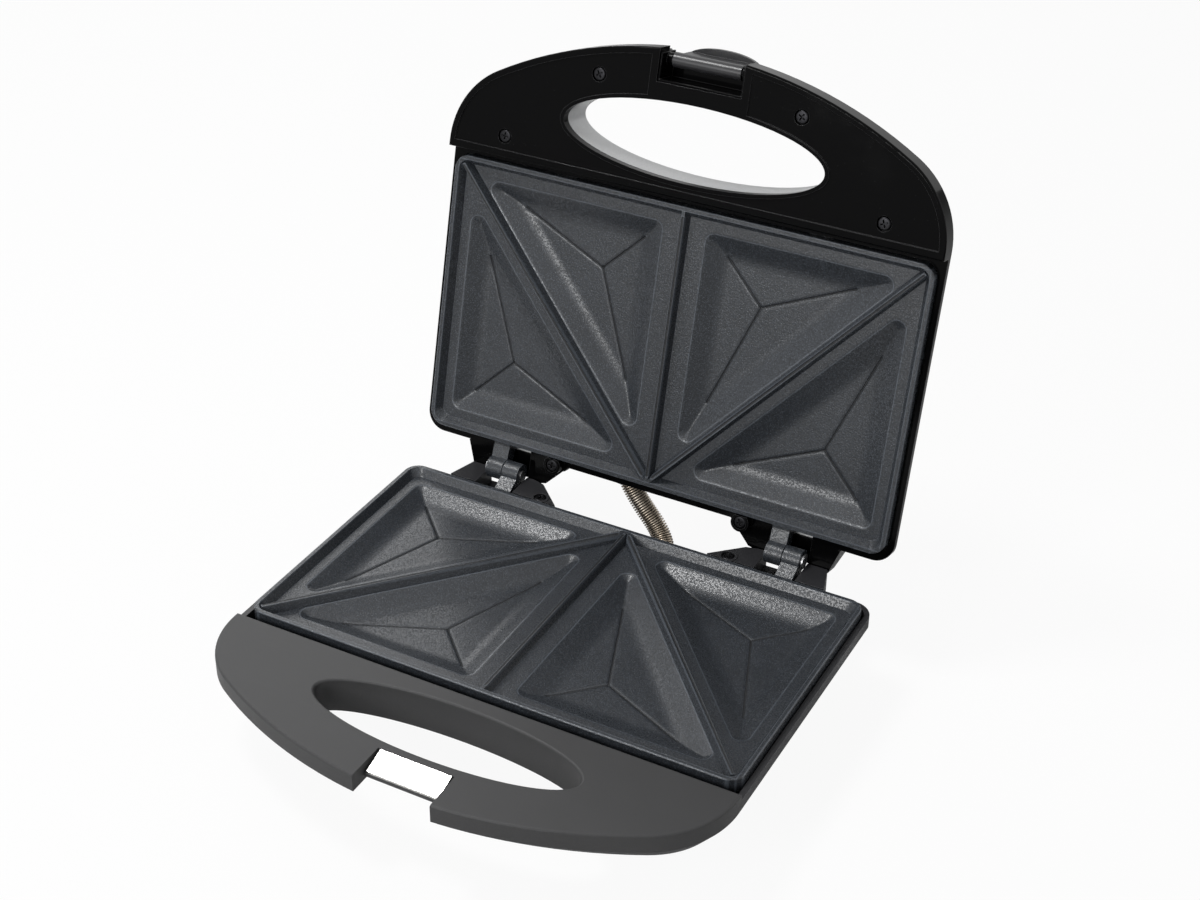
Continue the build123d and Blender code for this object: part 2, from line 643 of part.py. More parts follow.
# ---------------------------------------------------------------- plain shapes, drawn by depth
def slab(x_limits, y_limits, depth_limits):
    """A block between two limits along x, y and depth."""
    limits = (x_limits, y_limits, depth_limits)
    with BuildPart() as block:
        with Locations(tuple((first + last) / 2 for first, last in limits)):
            Box(*[last - first for first, last in limits])
    return block.part


def posts(places, radius, start_depth, end_depth):
    """Round posts of one size at several places, between two depths."""
    with BuildPart() as group:
        with BuildSketch(Plane.XY.offset(start_depth)):
            with Locations(*places):
                Circle(radius)
        extrude(amount=end_depth - start_depth)
    return group.part


def bar_back(x, depth, radius, start_y, end_y):
    """A round bar that runs straight to the rear."""
    with BuildPart() as bar:
        with BuildSketch(Plane(origin=(x, start_y, depth), z_dir=(0, 1, 0))):
            Circle(radius)
        extrude(amount=end_y - start_y)
    return bar.part


def bar_across(y, depth, radius, start_x, end_x):
    """A round bar that runs from left to right."""
    with BuildPart() as bar:
        with BuildSketch(Plane(origin=(start_x, y, depth), z_dir=(1, 0, 0))):
            Circle(radius)
        extrude(amount=end_x - start_x)
    return bar.part


def rear_hole(x, depth, radius):
    """A round hole through the rear wall."""
    return bar_back(x, depth, radius, PLATE_REAR - LUG_ROOT, CLEAR_REAR)


def across_block(side_points, x_limits):
    """A block drawn by its side view, as (y, depth) points, between two limits along x."""
    with BuildPart() as block:
        with BuildSketch(Plane.YZ.offset(x_limits[0])):
            with BuildLine():
                Polyline(*side_points, close=True)
            make_face()
        extrude(amount=x_limits[1] - x_limits[0], dir=(1, 0, 0))
    return block.part


def plan_block(points, start_depth, end_depth):
    """A block drawn by its plan, between two depths."""
    with BuildPart() as block:
        with BuildSketch(Plane.XY.offset(start_depth)):
            with BuildLine():
                Polyline(*points, close=True)
            make_face()
        extrude(amount=end_depth - start_depth, dir=(0, 0, 1))
    return block.part


def oval_prism(grow, start_depth, end_depth):
    """The grip hole's oval, grown evenly, between two depths."""
    with BuildPart() as prism:
        with BuildSketch(Plane.XY.offset(start_depth)):
            with Locations((0, GRIP_Y)):
                Ellipse(GRIP_HALF_WIDTH + grow, GRIP_HALF_DEPTH + grow)
        extrude(amount=end_depth - start_depth)
    return prism.part


def outline_prism(inset, start_depth, end_depth):
    """The half's plan, inset evenly, between two depths."""
    with BuildPart() as prism:
        add(handle_outline(inset, start_depth, REAR_Y))
        extrude(amount=end_depth - start_depth)
    return prism.part


def mirrored_slabs(x_limits, y_limits, depth_limits):
    """The same block right and left of the middle."""
    with BuildPart() as pair:
        add(slab(x_limits, y_limits, depth_limits))
        mirror(about=Plane.YZ)
    return pair.part


def rear_bosses(top, foot):
    """Round bosses over or under the rear lugs, cut off short of the plate."""
    with BuildPart() as bosses:
        add(posts(REAR_LUGS, BOSS_RADIUS - 0.2, top, foot))
        add(slab((-WIDE, WIDE), (0, PLATE_REAR + RUNNING_GAP), (top - 1, foot + 1)), mode=Mode.SUBTRACT)
    return bosses.part


def arm_slots():
    """Room for the hinge arms and their knuckles."""
    reach = ARM_WIDTH + ARM_GAP / 2 + SLOT_CLEARANCE
    limits = (HINGE_X - reach, HINGE_X + reach)
    return mirrored_slabs(limits, (PLATE_REAR - 4, HINGE_Y + 20), (-20, SHEET_DEPTH + SLOT_CLEARANCE))


def lug_slots(lug_x, start_y, end_y):
    """Room round a pair of fixing lugs."""
    half = LUG_WIDTH / 2 + RUNNING_GAP
    limits = (lug_x - half, lug_x + half)
    return mirrored_slabs(limits, (start_y, end_y), (LUG_DEPTH - RUNNING_GAP, LUG_BACK))


def hinge_ledge(rear_y, face_depth, foot_depth, inner_x, start_y):
    """The ledges behind the rear wall that stand round both hinges."""
    chamfer_x, chamfer_y = LEDGE_CHAMFER
    corner_x = max(inner_x, LEDGE_INNER_REAR_X)
    plan = [
        (inner_x, start_y),
        (corner_x, rear_y - chamfer_y),
        (corner_x + chamfer_x, rear_y),
        (LEDGE_OUTER_REAR_X, rear_y),
        (LEDGE_OUTER_X, start_y),
    ]
    side = [
        (start_y - 1, face_depth),
        (rear_y, face_depth),
        (rear_y, (face_depth + foot_depth) / 2),
        (REAR_Y + 1.0, foot_depth),
        (start_y - 1, foot_depth),
    ]
    with BuildPart() as ledges:
        add(plan_block(plan, face_depth, foot_depth))
        add(across_block(side, (0, HALF_WIDTH)), mode=Mode.INTERSECT)
        mirror(about=Plane.YZ)
    return ledges.part


# ---------------------------------------------------------------- base


def base_posts():
    """Posts that stand on the base's floor, under what they carry."""
    with BuildPart() as standing:
        add(posts(FRONT_LUGS, BOSS_RADIUS, LUG_BACK, BASE_DEPTH))
        add(posts(HANDLE_SCREWS, BOSS_RADIUS, BASE_SKIRT, BASE_DEPTH))
        add(posts(REFLECTOR_SCREWS, BOSS_RADIUS, REFLECTOR_BACK, BASE_DEPTH))
        add(BASE_OUTSIDE, mode=Mode.INTERSECT)
    return standing.part


def skirt_room(body_y):
    """What the front handle's skirt takes from the base's wall, in front of the body."""
    with BuildPart() as room:
        add(outline_prism(-1, -2 * PAST, BASE_SKIRT))
        add(outline_prism(WALL + RUNNING_GAP, -3 * PAST, BASE_SKIRT + 1), mode=Mode.SUBTRACT)
        add(slab((-WIDE, WIDE), body_y, (-4 * PAST, BASE_DEPTH)), mode=Mode.SUBTRACT)
    return room.part


def base_housing_form():
    """The moulded tray that carries everything in the base."""
    body_y = (HANDLE_EDGE_Y, REAR_Y + 1)
    with BuildPart() as tray:
        add(BASE_OUTSIDE)
        add(base_form(WALL), mode=Mode.SUBTRACT)
        add(base_posts())
        # open above the lip, and above the handle's skirt in front
        add(slab((-WIDE, WIDE), body_y, (-2 * PAST, HOUSING_LIP)), mode=Mode.SUBTRACT)
        add(skirt_room(body_y), mode=Mode.SUBTRACT)
        front_y = (CLEAR_FRONT, HANDLE_EDGE_Y)
        add(slab((-WIDE, WIDE), front_y, (-2 * PAST, HANDLE_SEAT)), mode=Mode.SUBTRACT)
        # ledges and raised bosses behind the rear wall
        ledge_root = PLATE_REAR + LEDGE_ROOT
        add(hinge_ledge(BASE_LEDGE_REAR, BASE_LEDGE_TOP, LEDGE_FOOT, LEDGE_INNER_X, ledge_root))
        add(rear_bosses(BASE_BOSS_TOP, BASE_BOSS_FOOT))
        add(arm_slots(), mode=Mode.SUBTRACT)
        add(lug_slots(REAR_LUG_X, PLATE_REAR - LUG_ROOT, REAR_LUG_TIP), mode=Mode.SUBTRACT)
        # grip hole and latch notch
        add(oval_prism(GRIP_WALL + RUNNING_GAP, -5, BASE_DEPTH), mode=Mode.SUBTRACT)
        notch_half = NOTCH_CHEEK + RUNNING_GAP
        notch_y = (CLEAR_FRONT, HOUSING_NOTCH_Y)
        add(slab((-notch_half, notch_half), notch_y, (-5, BASE_DEPTH)), mode=Mode.SUBTRACT)
        # bores for screws, feet, conduit and gland
        add(posts(HANDLE_SCREWS, SCREW_BORE, 0, BASE_DEPTH + 1), mode=Mode.SUBTRACT)
        add(posts(HANDLE_SCREWS, SCREW_ROOM, HANDLE_SCREW_SEAT, BASE_DEPTH + 1), mode=Mode.SUBTRACT)
        add(posts(FRONT_LUGS, SCREW_BORE, 0, LOWER_LUG_TIP + BORE_SPARE), mode=Mode.SUBTRACT)
        rear_bore_end = BASE_HINGE_TIP + BORE_SPARE
        add(posts(REAR_LUGS, SCREW_BORE, -PAST, rear_bore_end), mode=Mode.SUBTRACT)
        rear_seat = BASE_BOSS_TOP + SCREW_HEAD_HEIGHT
        add(posts(REAR_LUGS, HEAD_ROOM, -PAST, rear_seat), mode=Mode.SUBTRACT)
        reflector_bore_end = REFLECTOR_SCREW_TIP + BORE_SPARE
        add(posts(REFLECTOR_SCREWS, SCREW_BORE, 0, reflector_bore_end), mode=Mode.SUBTRACT)
        add(posts(FOOT_PLACES, FOOT_STEM + 0.1, BASE_FLOOR - 1, BASE_DEPTH + 1), mode=Mode.SUBTRACT)
        add(rear_hole(CONDUIT_BASE_X, CONDUIT_BASE_DEPTH, FERRULE_HOLE), mode=Mode.SUBTRACT)
        add(rear_hole(GLAND_X, GLAND_DEPTH, GLAND_HOLE), mode=Mode.SUBTRACT)
    return tray.part


def handle_hollow(under_skin, behind):
    """The room under the handle's skin, inside its skirt and its rear wall."""
    rear_wall = (HANDLE_EDGE_Y - HANDLE_SKIN, behind[1])
    with BuildPart() as hollow:
        add(outline_prism(WALL, under_skin, BASE_SKIRT + PAST))
        add(slab((-WIDE, WIDE), rear_wall, (0, LUG_HEAD_TOP)), mode=Mode.SUBTRACT)
    return hollow.part


def grip_tube(start_depth):
    """The tube round the grip hole, which runs down through the housing's underside."""
    with BuildPart() as tube:
        add(oval_prism(GRIP_WALL, start_depth, BASE_DEPTH))
        add(oval_prism(0, -PAST, BASE_DEPTH), mode=Mode.SUBTRACT)
        add(BASE_OUTSIDE, mode=Mode.INTERSECT)
    return tube.part


def handle_cheeks(start_depth):
    """The block that the latch's notch is cut from, kept inside the handle's plan."""
    cheek_y = (HANDLE_TIP_Y + 0.5, HOUSING_NOTCH_Y - RUNNING_GAP)
    with BuildPart() as cheeks:
        add(slab((-NOTCH_CHEEK, NOTCH_CHEEK), cheek_y, (start_depth, BASE_SKIRT)))
        add(outline_prism(0, -PAST, BASE_DEPTH), mode=Mode.INTERSECT)
    return cheeks.part


def lower_handle_form():
    """The grey front handle: skin, skirt, grip tube, screw bosses and the latch's lip."""
    top = BASE_HANDLE_FACE
    under_skin = top + HANDLE_SKIN
    behind = (HANDLE_EDGE_Y, REAR_Y + 2 * PAST)
    with BuildPart() as handle:
        add(outline_prism(0, top, BASE_SKIRT))
        add(slab((-WIDE, WIDE), behind, (-PAST, BASE_DEPTH)), mode=Mode.SUBTRACT)
        add(oval_prism(0, -PAST, BASE_DEPTH), mode=Mode.SUBTRACT)
        fillet(handle.faces().sort_by(Axis.Z)[0].edges(), RIM_BLEND)
        add(handle_hollow(under_skin, behind), mode=Mode.SUBTRACT)
        add(grip_tube(top + RIM_BLEND + 0.2))
        add(posts(HANDLE_SCREWS, BOSS_RADIUS, top + 1, BASE_SKIRT - 0.1))
        add(posts(HANDLE_SCREWS, SCREW_BORE, under_skin - 0.6, BASE_SKIRT + 1), mode=Mode.SUBTRACT)
        # cheeks and lip of the latch's notch
        add(handle_cheeks(top + 1))
        lip_y = (LIP_FRONT_Y, LIP_ROOT_Y)
        add(slab((-NOTCH_CHEEK, NOTCH_CHEEK), lip_y, (top + 1, LIP_BOTTOM)))
        front = (CLEAR_FRONT, LIP_FRONT_Y)
        notch = (-BASE_NOTCH_HALF, BASE_NOTCH_HALF)
        add(slab(notch, front, (-PAST, BASE_DEPTH)), mode=Mode.SUBTRACT)
        undercut_y = (LIP_FRONT_Y - 1, LIP_UNDERCUT_Y)
        add(slab(notch, undercut_y, (LIP_BOTTOM, BASE_DEPTH)), mode=Mode.SUBTRACT)
        # the bevel that the catch plate lies on
        beyond = CATCH_BOTTOM_FRONT + CATCH_SLOPE / LIP_RUN
        bevel = [
            (CATCH_REAR_Y, -PAST),
            (CATCH_REAR_Y, CATCH_BOTTOM_REAR),
            (LIP_FRONT_Y - 1, beyond),
            (LIP_FRONT_Y - 1, -PAST),
        ]
        add(across_block(bevel, notch), mode=Mode.SUBTRACT)
    return handle.part


def catch_plate_form():
    """The bright wear plate on the bevel, turned down over the lip's front edge."""
    side = [
        (CATCH_REAR_Y, CATCH_BOTTOM_REAR),
        (CATCH_REAR_Y, BASE_HANDLE_FACE + 0.1),
        (LIP_FRONT_Y, CATCH_BOTTOM_FRONT - CATCH_THICKNESS),
        (LIP_FRONT_Y, CATCH_BOTTOM_FRONT),
    ]
    half = BASE_NOTCH_HALF - 1.2
    return across_block(side, (-half, half))


def foot_form():
    """Rubber feet with stems and barbs that snap through the floor."""
    with BuildPart() as feet:
        add(posts(FOOT_PLACES, FOOT_RADIUS, BASE_DEPTH, RIM_HEIGHT))
        fillet(feet.faces().sort_by(Axis.Z)[-4:].edges(), FOOT_EDGE_BLEND)
        add(posts(FOOT_PLACES, FOOT_STEM, BASE_FLOOR - 0.5, BASE_DEPTH))
        add(posts(FOOT_PLACES, FOOT_STEM + FOOT_BARB, BASE_FLOOR - 2.0, BASE_FLOOR))
    return feet.part


def grommet(x, depth, outer, bore, shoulder_bore, lip):
    """A bush through the rear wall, a flange on each side, bored and stepped."""
    inner_y = REAR_Y - WALL
    with BuildPart() as bush:
        add(bar_back(x, depth, outer, inner_y - lip, REAR_Y + lip))
        add(bar_back(x, depth, outer + FERRULE_LIP, REAR_Y, REAR_Y + lip))
        add(bar_back(x, depth, outer + FERRULE_LIP, inner_y - lip, inner_y))
        add(bar_back(x, depth, bore, REAR_Y - FERRULE_SEAT, REAR_Y + 2 * lip), mode=Mode.SUBTRACT)
        add(bar_back(x, depth, shoulder_bore, inner_y - 2 * lip, REAR_Y), mode=Mode.SUBTRACT)
    return bush.part


def conduit_ferrule(x, depth):
    """The bush that takes an end of the conduit spring, with a shoulder for it."""
    shoulder = CONDUIT_RADIUS - 2 * CONDUIT_WIRE
    return grommet(x, depth, FERRULE_SLEEVE, FERRULE_BORE, shoulder, FERRULE_FLANGE)


# ---------------------------------------------------------------- lid
def panel_recess():
    """The shallow panels in the lid handle's face, left and right of the notch."""
    floor = LID_FACE + PANEL_DROP
    with BuildPart() as recess:
        add(outline_prism(BEAD_WIDTH + 0.4, LID_FACE - 1, floor))
        behind = (HANDLE_EDGE_Y - PANEL_REAR_STRIP, CLEAR_REAR)
        add(slab((-WIDE, WIDE), behind, (-2 * PAST, 2 * PAST)), mode=Mode.SUBTRACT)
        add(oval_prism(BEAD_WIDTH, -2 * PAST, 2 * PAST), mode=Mode.SUBTRACT)
        half = LID_CHEEK + 1.0
        add(slab((-half, half), (CLEAR_FRONT, GRIP_Y), (-2 * PAST, 2 * PAST)), mode=Mode.SUBTRACT)
    return recess.part


def frame_band():
    """The depths that the frame fills: a low band round the plate, all of the handle in front."""
    with BuildPart() as band:
        add(slab((-WIDE, WIDE), (HANDLE_EDGE_Y, REAR_Y + 1), (HOUSING_LIP, LID_SPLIT)))
        add(slab((-WIDE, WIDE), (CLEAR_FRONT, HANDLE_EDGE_Y), (LID_FACE, LID_SPLIT)))
    return band.part


def frame_hollow():
    """The room behind the handle face, inside its outer and rear walls."""
    behind = (HANDLE_EDGE_Y - WALL, CLEAR_REAR)
    with BuildPart() as hollow:
        add(outline_prism(WALL, LID_FACE + WALL, LID_SPLIT + 1))
        add(slab((-WIDE, WIDE), behind, (-2 * PAST, 4 * PAST)), mode=Mode.SUBTRACT)
    return hollow.part


def frame_cheeks():
    """The walls of the lid's latch notch, as deep as the latch's barrel."""
    wall_y = (LID_NOTCH_Y, LID_NOTCH_Y + WALL)
    cheek_depths = (LID_FACE + 1, LATCH_PIVOT + LATCH_BARREL)
    with BuildPart() as cheeks:
        add(mirrored_slabs((LID_NOTCH_HALF, LID_CHEEK), CHEEK_Y, cheek_depths))
        add(slab((-LID_CHEEK, LID_CHEEK), wall_y, (LID_FACE + 1, LID_SPLIT)))
        add(LID_OUTSIDE, mode=Mode.INTERSECT)
    return cheeks.part


def lid_frame_form():
    """The gloss frame round the upper plate, with the lid's half of the handle."""
    with BuildPart() as frame:
        add(LID_OUTSIDE)
        add(frame_band(), mode=Mode.INTERSECT)
        fillet(frame.faces().sort_by(Axis.Z)[0].edges(), LID_EDGE_BLEND)
        add(panel_recess(), mode=Mode.SUBTRACT)
        with BuildSketch(Plane.XY.offset(LID_FACE - 1)):
            RectangleRounded(
                PLATE_WIDTH + 2 * PLATE_CLEARANCE,
                PLATE_LENGTH + 2 * PLATE_CLEARANCE,
                PLATE_CORNER + PLATE_CLEARANCE,
            )
        extrude(amount=LID_SPLIT - LID_FACE + 2, mode=Mode.SUBTRACT)
        add(frame_hollow(), mode=Mode.SUBTRACT)
        # grip hole with its short tube
        add(oval_prism(GRIP_WALL + GRIP_SPARE, LID_FACE + 1, FRAME_BOSS_END))
        add(oval_prism(GRIP_SPARE, -2 * PAST, 4 * PAST), mode=Mode.SUBTRACT)
        # walls of the latch's notch
        add(frame_cheeks())
        notch = ((-LID_NOTCH_HALF, LID_NOTCH_HALF), (CLEAR_FRONT, LID_NOTCH_Y))
        add(slab(*notch, (-2 * PAST, 4 * PAST)), mode=Mode.SUBTRACT)
        pin_reach = LID_CHEEK - 0.4
        pin_hole = LATCH_PIN_RADIUS + 2 * PIN_TIGHT
        pin_bore = bar_across(LATCH_Y, LATCH_PIVOT, pin_hole, -pin_reach, pin_reach)
        add(pin_bore, mode=Mode.SUBTRACT)
        # hinge ledges, joined to the frame's rear edge
        root_y = PLATE_REAR + LEDGE_ROOT
        add(hinge_ledge(LID_LEDGE_REAR, HOUSING_LIP, LID_SPLIT, LEDGE_INNER_X, root_y))
        inner_x = LEDGE_INNER_REAR_X + LID_LEDGE_INSET
        outer_root = REAR_Y + RUNNING_GAP
        add(hinge_ledge(LID_LEDGE_REAR, HOUSING_LIP, LID_LEDGE_FOOT, inner_x, outer_root))
        add(arm_slots(), mode=Mode.SUBTRACT)
        # bosses and bores
        add(rear_bosses(LID_BOSS_TOP, LUG_DEPTH - RUNNING_GAP))
        add(lug_slots(REAR_LUG_X, PLATE_REAR - LUG_ROOT, REAR_LUG_TIP), mode=Mode.SUBTRACT)
        front_lug_tip = PLATE_FRONT - FRONT_LUG_REACH - 1
        add(lug_slots(FRONT_LUG_X, front_lug_tip, PLATE_FRONT + LUG_ROOT), mode=Mode.SUBTRACT)
        add(posts(FRONT_LUGS, SCREW_ROOM, LUG_HEAD_TOP, LID_SPLIT + 1), mode=Mode.SUBTRACT)
        add(posts(HANDLE_SCREWS, BOSS_RADIUS, LID_FACE + 1, FRAME_BOSS_END))
        add(posts(HANDLE_SCREWS, SCREW_BORE, -2 * PAST, 2 * PAST), mode=Mode.SUBTRACT)
        add(posts(HANDLE_SCREWS, SCREW_ROOM, -2 * PAST, FRAME_SCREW_SEAT), mode=Mode.SUBTRACT)
        add(posts(REAR_LUGS, SCREW_BORE, -2 * PAST, 2 * PAST), mode=Mode.SUBTRACT)
        rear_seat = LID_BOSS_TOP + SCREW_HEAD_HEIGHT
        add(posts(REAR_LUGS, HEAD_ROOM, -2 * PAST, rear_seat), mode=Mode.SUBTRACT)
    return frame.part


def shell_posts():
    """Posts, grip tube and notch walls that hang from the lid's top, kept inside its form."""
    wall_y = (LID_NOTCH_Y, LID_NOTCH_Y + WALL)
    cheek_y = (HANDLE_TIP_Y, LID_NOTCH_Y + WALL)
    cheek_depths = (CHEEK_SEAM + 0.2, LID_HEIGHT)
    with BuildPart() as standing:
        add(posts(FRONT_LUGS, BOSS_RADIUS, LUG_BACK, LID_HEIGHT))
        add(posts(HANDLE_SCREWS, BOSS_RADIUS, FRAME_BOSS_END, LID_HEIGHT))
        add(posts(REFLECTOR_SCREWS, BOSS_RADIUS, REFLECTOR_BACK, LID_HEIGHT))
        add(oval_prism(GRIP_WALL + GRIP_SPARE, FRAME_BOSS_END, LID_HEIGHT))
        add(mirrored_slabs((LID_NOTCH_HALF, LID_CHEEK), cheek_y, cheek_depths))
        add(slab((-LID_CHEEK, LID_CHEEK), wall_y, (LID_SPLIT, LID_HEIGHT)))
        add(LID_OUTSIDE, mode=Mode.INTERSECT)
    return standing.part


def below_split():
    """What the frame takes below the split, but for the posts and tube that reach into it."""
    with BuildPart() as room:
        add(outline_prism(-PAST, -2 * PAST, LID_SPLIT))
        add(posts(HANDLE_SCREWS, BOSS_RADIUS, FRAME_BOSS_END, 2 * PAST), mode=Mode.SUBTRACT)
        add(oval_prism(GRIP_WALL + GRIP_SPARE, FRAME_BOSS_END, 2 * PAST), mode=Mode.SUBTRACT)
    return room.part


def cheeks_room():
    """Room in the shell for the frame's notch cheeks."""
    half = LID_CHEEK + RUNNING_GAP
    behind = ((-LID_NOTCH_HALF, LID_NOTCH_HALF), (LID_NOTCH_Y, 0))
    with BuildPart() as room:
        add(slab((-half, half), (CLEAR_FRONT, LID_NOTCH_Y + WALL), (LID_SPLIT - 1, CHEEK_SEAM)))
        add(slab(*behind, (0, 4 * PAST)), mode=Mode.SUBTRACT)
    return room.part


def lid_shell_form():
    """The silver cover of the lid, with the bosses that everything in the lid screws into."""
    notch = ((-LID_NOTCH_HALF, LID_NOTCH_HALF), (CLEAR_FRONT, LID_NOTCH_Y))
    with BuildPart() as shell:
        add(LID_OUTSIDE)
        add(lid_form(WALL), mode=Mode.SUBTRACT)
        add(shell_posts())
        add(rear_bosses(LUG_BACK, LID_BOSS_FOOT))
        add(below_split(), mode=Mode.SUBTRACT)
        add(oval_prism(GRIP_SPARE, -2 * PAST, LID_HEIGHT), mode=Mode.SUBTRACT)
        add(slab(*notch, (-2 * PAST, LID_HEIGHT)), mode=Mode.SUBTRACT)
        add(cheeks_room(), mode=Mode.SUBTRACT)
        add(arm_slots(), mode=Mode.SUBTRACT)
        add(lug_slots(REAR_LUG_X, PLATE_REAR - LUG_ROOT, REAR_LUG_TIP), mode=Mode.SUBTRACT)
        # bores
        add(posts(HANDLE_SCREWS, SCREW_BORE, 0, FRAME_SCREW_TIP + BORE_SPARE), mode=Mode.SUBTRACT)
        add(posts(FRONT_LUGS, SCREW_BORE, 0, UPPER_LUG_TIP + BORE_SPARE), mode=Mode.SUBTRACT)
        add(posts(REAR_LUGS, SCREW_BORE, 0, LID_HINGE_TIP + BORE_SPARE), mode=Mode.SUBTRACT)
        reflector_bore_end = REFLECTOR_SCREW_TIP + BORE_SPARE
        add(posts(REFLECTOR_SCREWS, SCREW_BORE, 0, reflector_bore_end), mode=Mode.SUBTRACT)
        add(posts(LAMP_PLACES, LENS_RADIUS + 0.1, LID_TOP - 1, LID_HEIGHT + 1), mode=Mode.SUBTRACT)
        add(rear_hole(CONDUIT_LID_X, CONDUIT_LID_DEPTH, FERRULE_HOLE), mode=Mode.SUBTRACT)
    return shell.part


def lens_form(x):
    """A lens window with an inner flange."""
    with BuildPart() as lens:
        add(posts([(x, LAMP_Y)], LENS_RADIUS, LID_TOP, LID_HEIGHT))
        fillet(lens.faces().sort_by(Axis.Z)[-1].edges(), 0.5)
        add(posts([(x, LAMP_Y)], LENS_RADIUS + LENS_FLANGE_OUT, LID_TOP - LENS_FLANGE, LID_TOP))
    return lens.part


def lamps_form():
    """Two neon lamps that stand on their holder, below the lenses."""
    end = LID_TOP - LENS_FLANGE - RUNNING_GAP
    return posts(LAMP_PLACES, LAMP_RADIUS, end - LAMP_LENGTH, end)


def lamp_holder_form():
    """A bar under the lamps, hung from the lid's top by two legs."""
    foot = LID_TOP - LENS_FLANGE - RUNNING_GAP - LAMP_LENGTH
    leg_x = LAMP_X + HOLDER_LEG_OUT
    half = leg_x + HOLDER_LEG_RADIUS + 0.5
    bar_y = (LAMP_Y - HOLDER_HALF_DEPTH, LAMP_Y + HOLDER_HALF_DEPTH)
    with BuildPart() as holder:
        add(slab((-half, half), bar_y, (foot - HOLDER_SHEET, foot)))
        add(posts(both_sides(leg_x, LAMP_Y), HOLDER_LEG_RADIUS, foot - 1, LID_TOP))
    return holder.part


def latch_form():
    """The flip-over latch: barrel, flat arm and half-oval thumb tab that hooks the lip."""
    tab_start = LATCH_PIVOT + LATCH_REACH
    arm_y = (LATCH_Y - LATCH_ARM / 2, LATCH_Y + LATCH_ARM / 2)
    with BuildPart() as latch:
        half = (-LATCH_HALF_WIDTH, LATCH_HALF_WIDTH)
        add(slab(half, arm_y, (LATCH_PIVOT, tab_start + LATCH_TAB)))
        add(bar_across(LATCH_Y, LATCH_PIVOT, LATCH_BARREL, *half))
        with BuildSketch(Plane.XY.offset(tab_start)):
            with Locations((0, arm_y[0] + LATCH_TAB_ROOT)):
                Ellipse(LATCH_HALF_WIDTH + LATCH_TAB_SIDE, LATCH_TAB_OUT + LATCH_TAB_ROOT)
            with Locations((0, arm_y[1] + WIDE / 2)):
                Rectangle(WIDE, WIDE, mode=Mode.SUBTRACT)
        extrude(amount=LATCH_TAB)
        chamfer(latch.faces().sort_by(Axis.Z)[-1].edges(), LATCH_CHAMFER)
        bore = bar_across(LATCH_Y, LATCH_PIVOT, LATCH_PIN_RADIUS + PIN_FIT, -WIDE, WIDE)
        add(bore, mode=Mode.SUBTRACT)
    return latch.part


def latch_pin_form():
    """The pin that the latch turns on, held in the notch's cheeks."""
    return bar_across(LATCH_Y, LATCH_PIVOT, LATCH_PIN_RADIUS, -LATCH_PIN_REACH, LATCH_PIN_REACH)


# ---------------------------------------------------------------- heating
def element_form():
    """A sheathed heating element: one loop, two tails and their terminal pins."""
    route = [
        (ELEMENT_TAIL_X, ELEMENT_TAIL_Y, ELEMENT_DEPTH),
        (ELEMENT_TAIL_X, ELEMENT_REAR_Y, ELEMENT_DEPTH),
        (ELEMENT_HALF_WIDTH, ELEMENT_REAR_Y, ELEMENT_DEPTH),
        (ELEMENT_HALF_WIDTH, ELEMENT_FRONT_Y, ELEMENT_DEPTH),
        (-ELEMENT_HALF_WIDTH, ELEMENT_FRONT_Y, ELEMENT_DEPTH),
        (-ELEMENT_HALF_WIDTH, ELEMENT_REAR_Y, ELEMENT_DEPTH),
        (-ELEMENT_TAIL_X, ELEMENT_REAR_Y, ELEMENT_DEPTH),
        (-ELEMENT_TAIL_X, ELEMENT_TAIL_Y, ELEMENT_DEPTH),
    ]
    with BuildPart() as element:
        with BuildLine():
            FilletPolyline(*route, radius=ELEMENT_BEND)
        with BuildSketch(Plane(origin=route[0], z_dir=(0, -1, 0))):
            Circle(ELEMENT_RADIUS)
        sweep()
        for x in (ELEMENT_TAIL_X, -ELEMENT_TAIL_X):
            end_y = ELEMENT_TAIL_Y + ELEMENT_PIN_LENGTH
            add(bar_back(x, ELEMENT_DEPTH, ELEMENT_PIN_RADIUS, ELEMENT_TAIL_Y - 2, end_y))
    return element.part


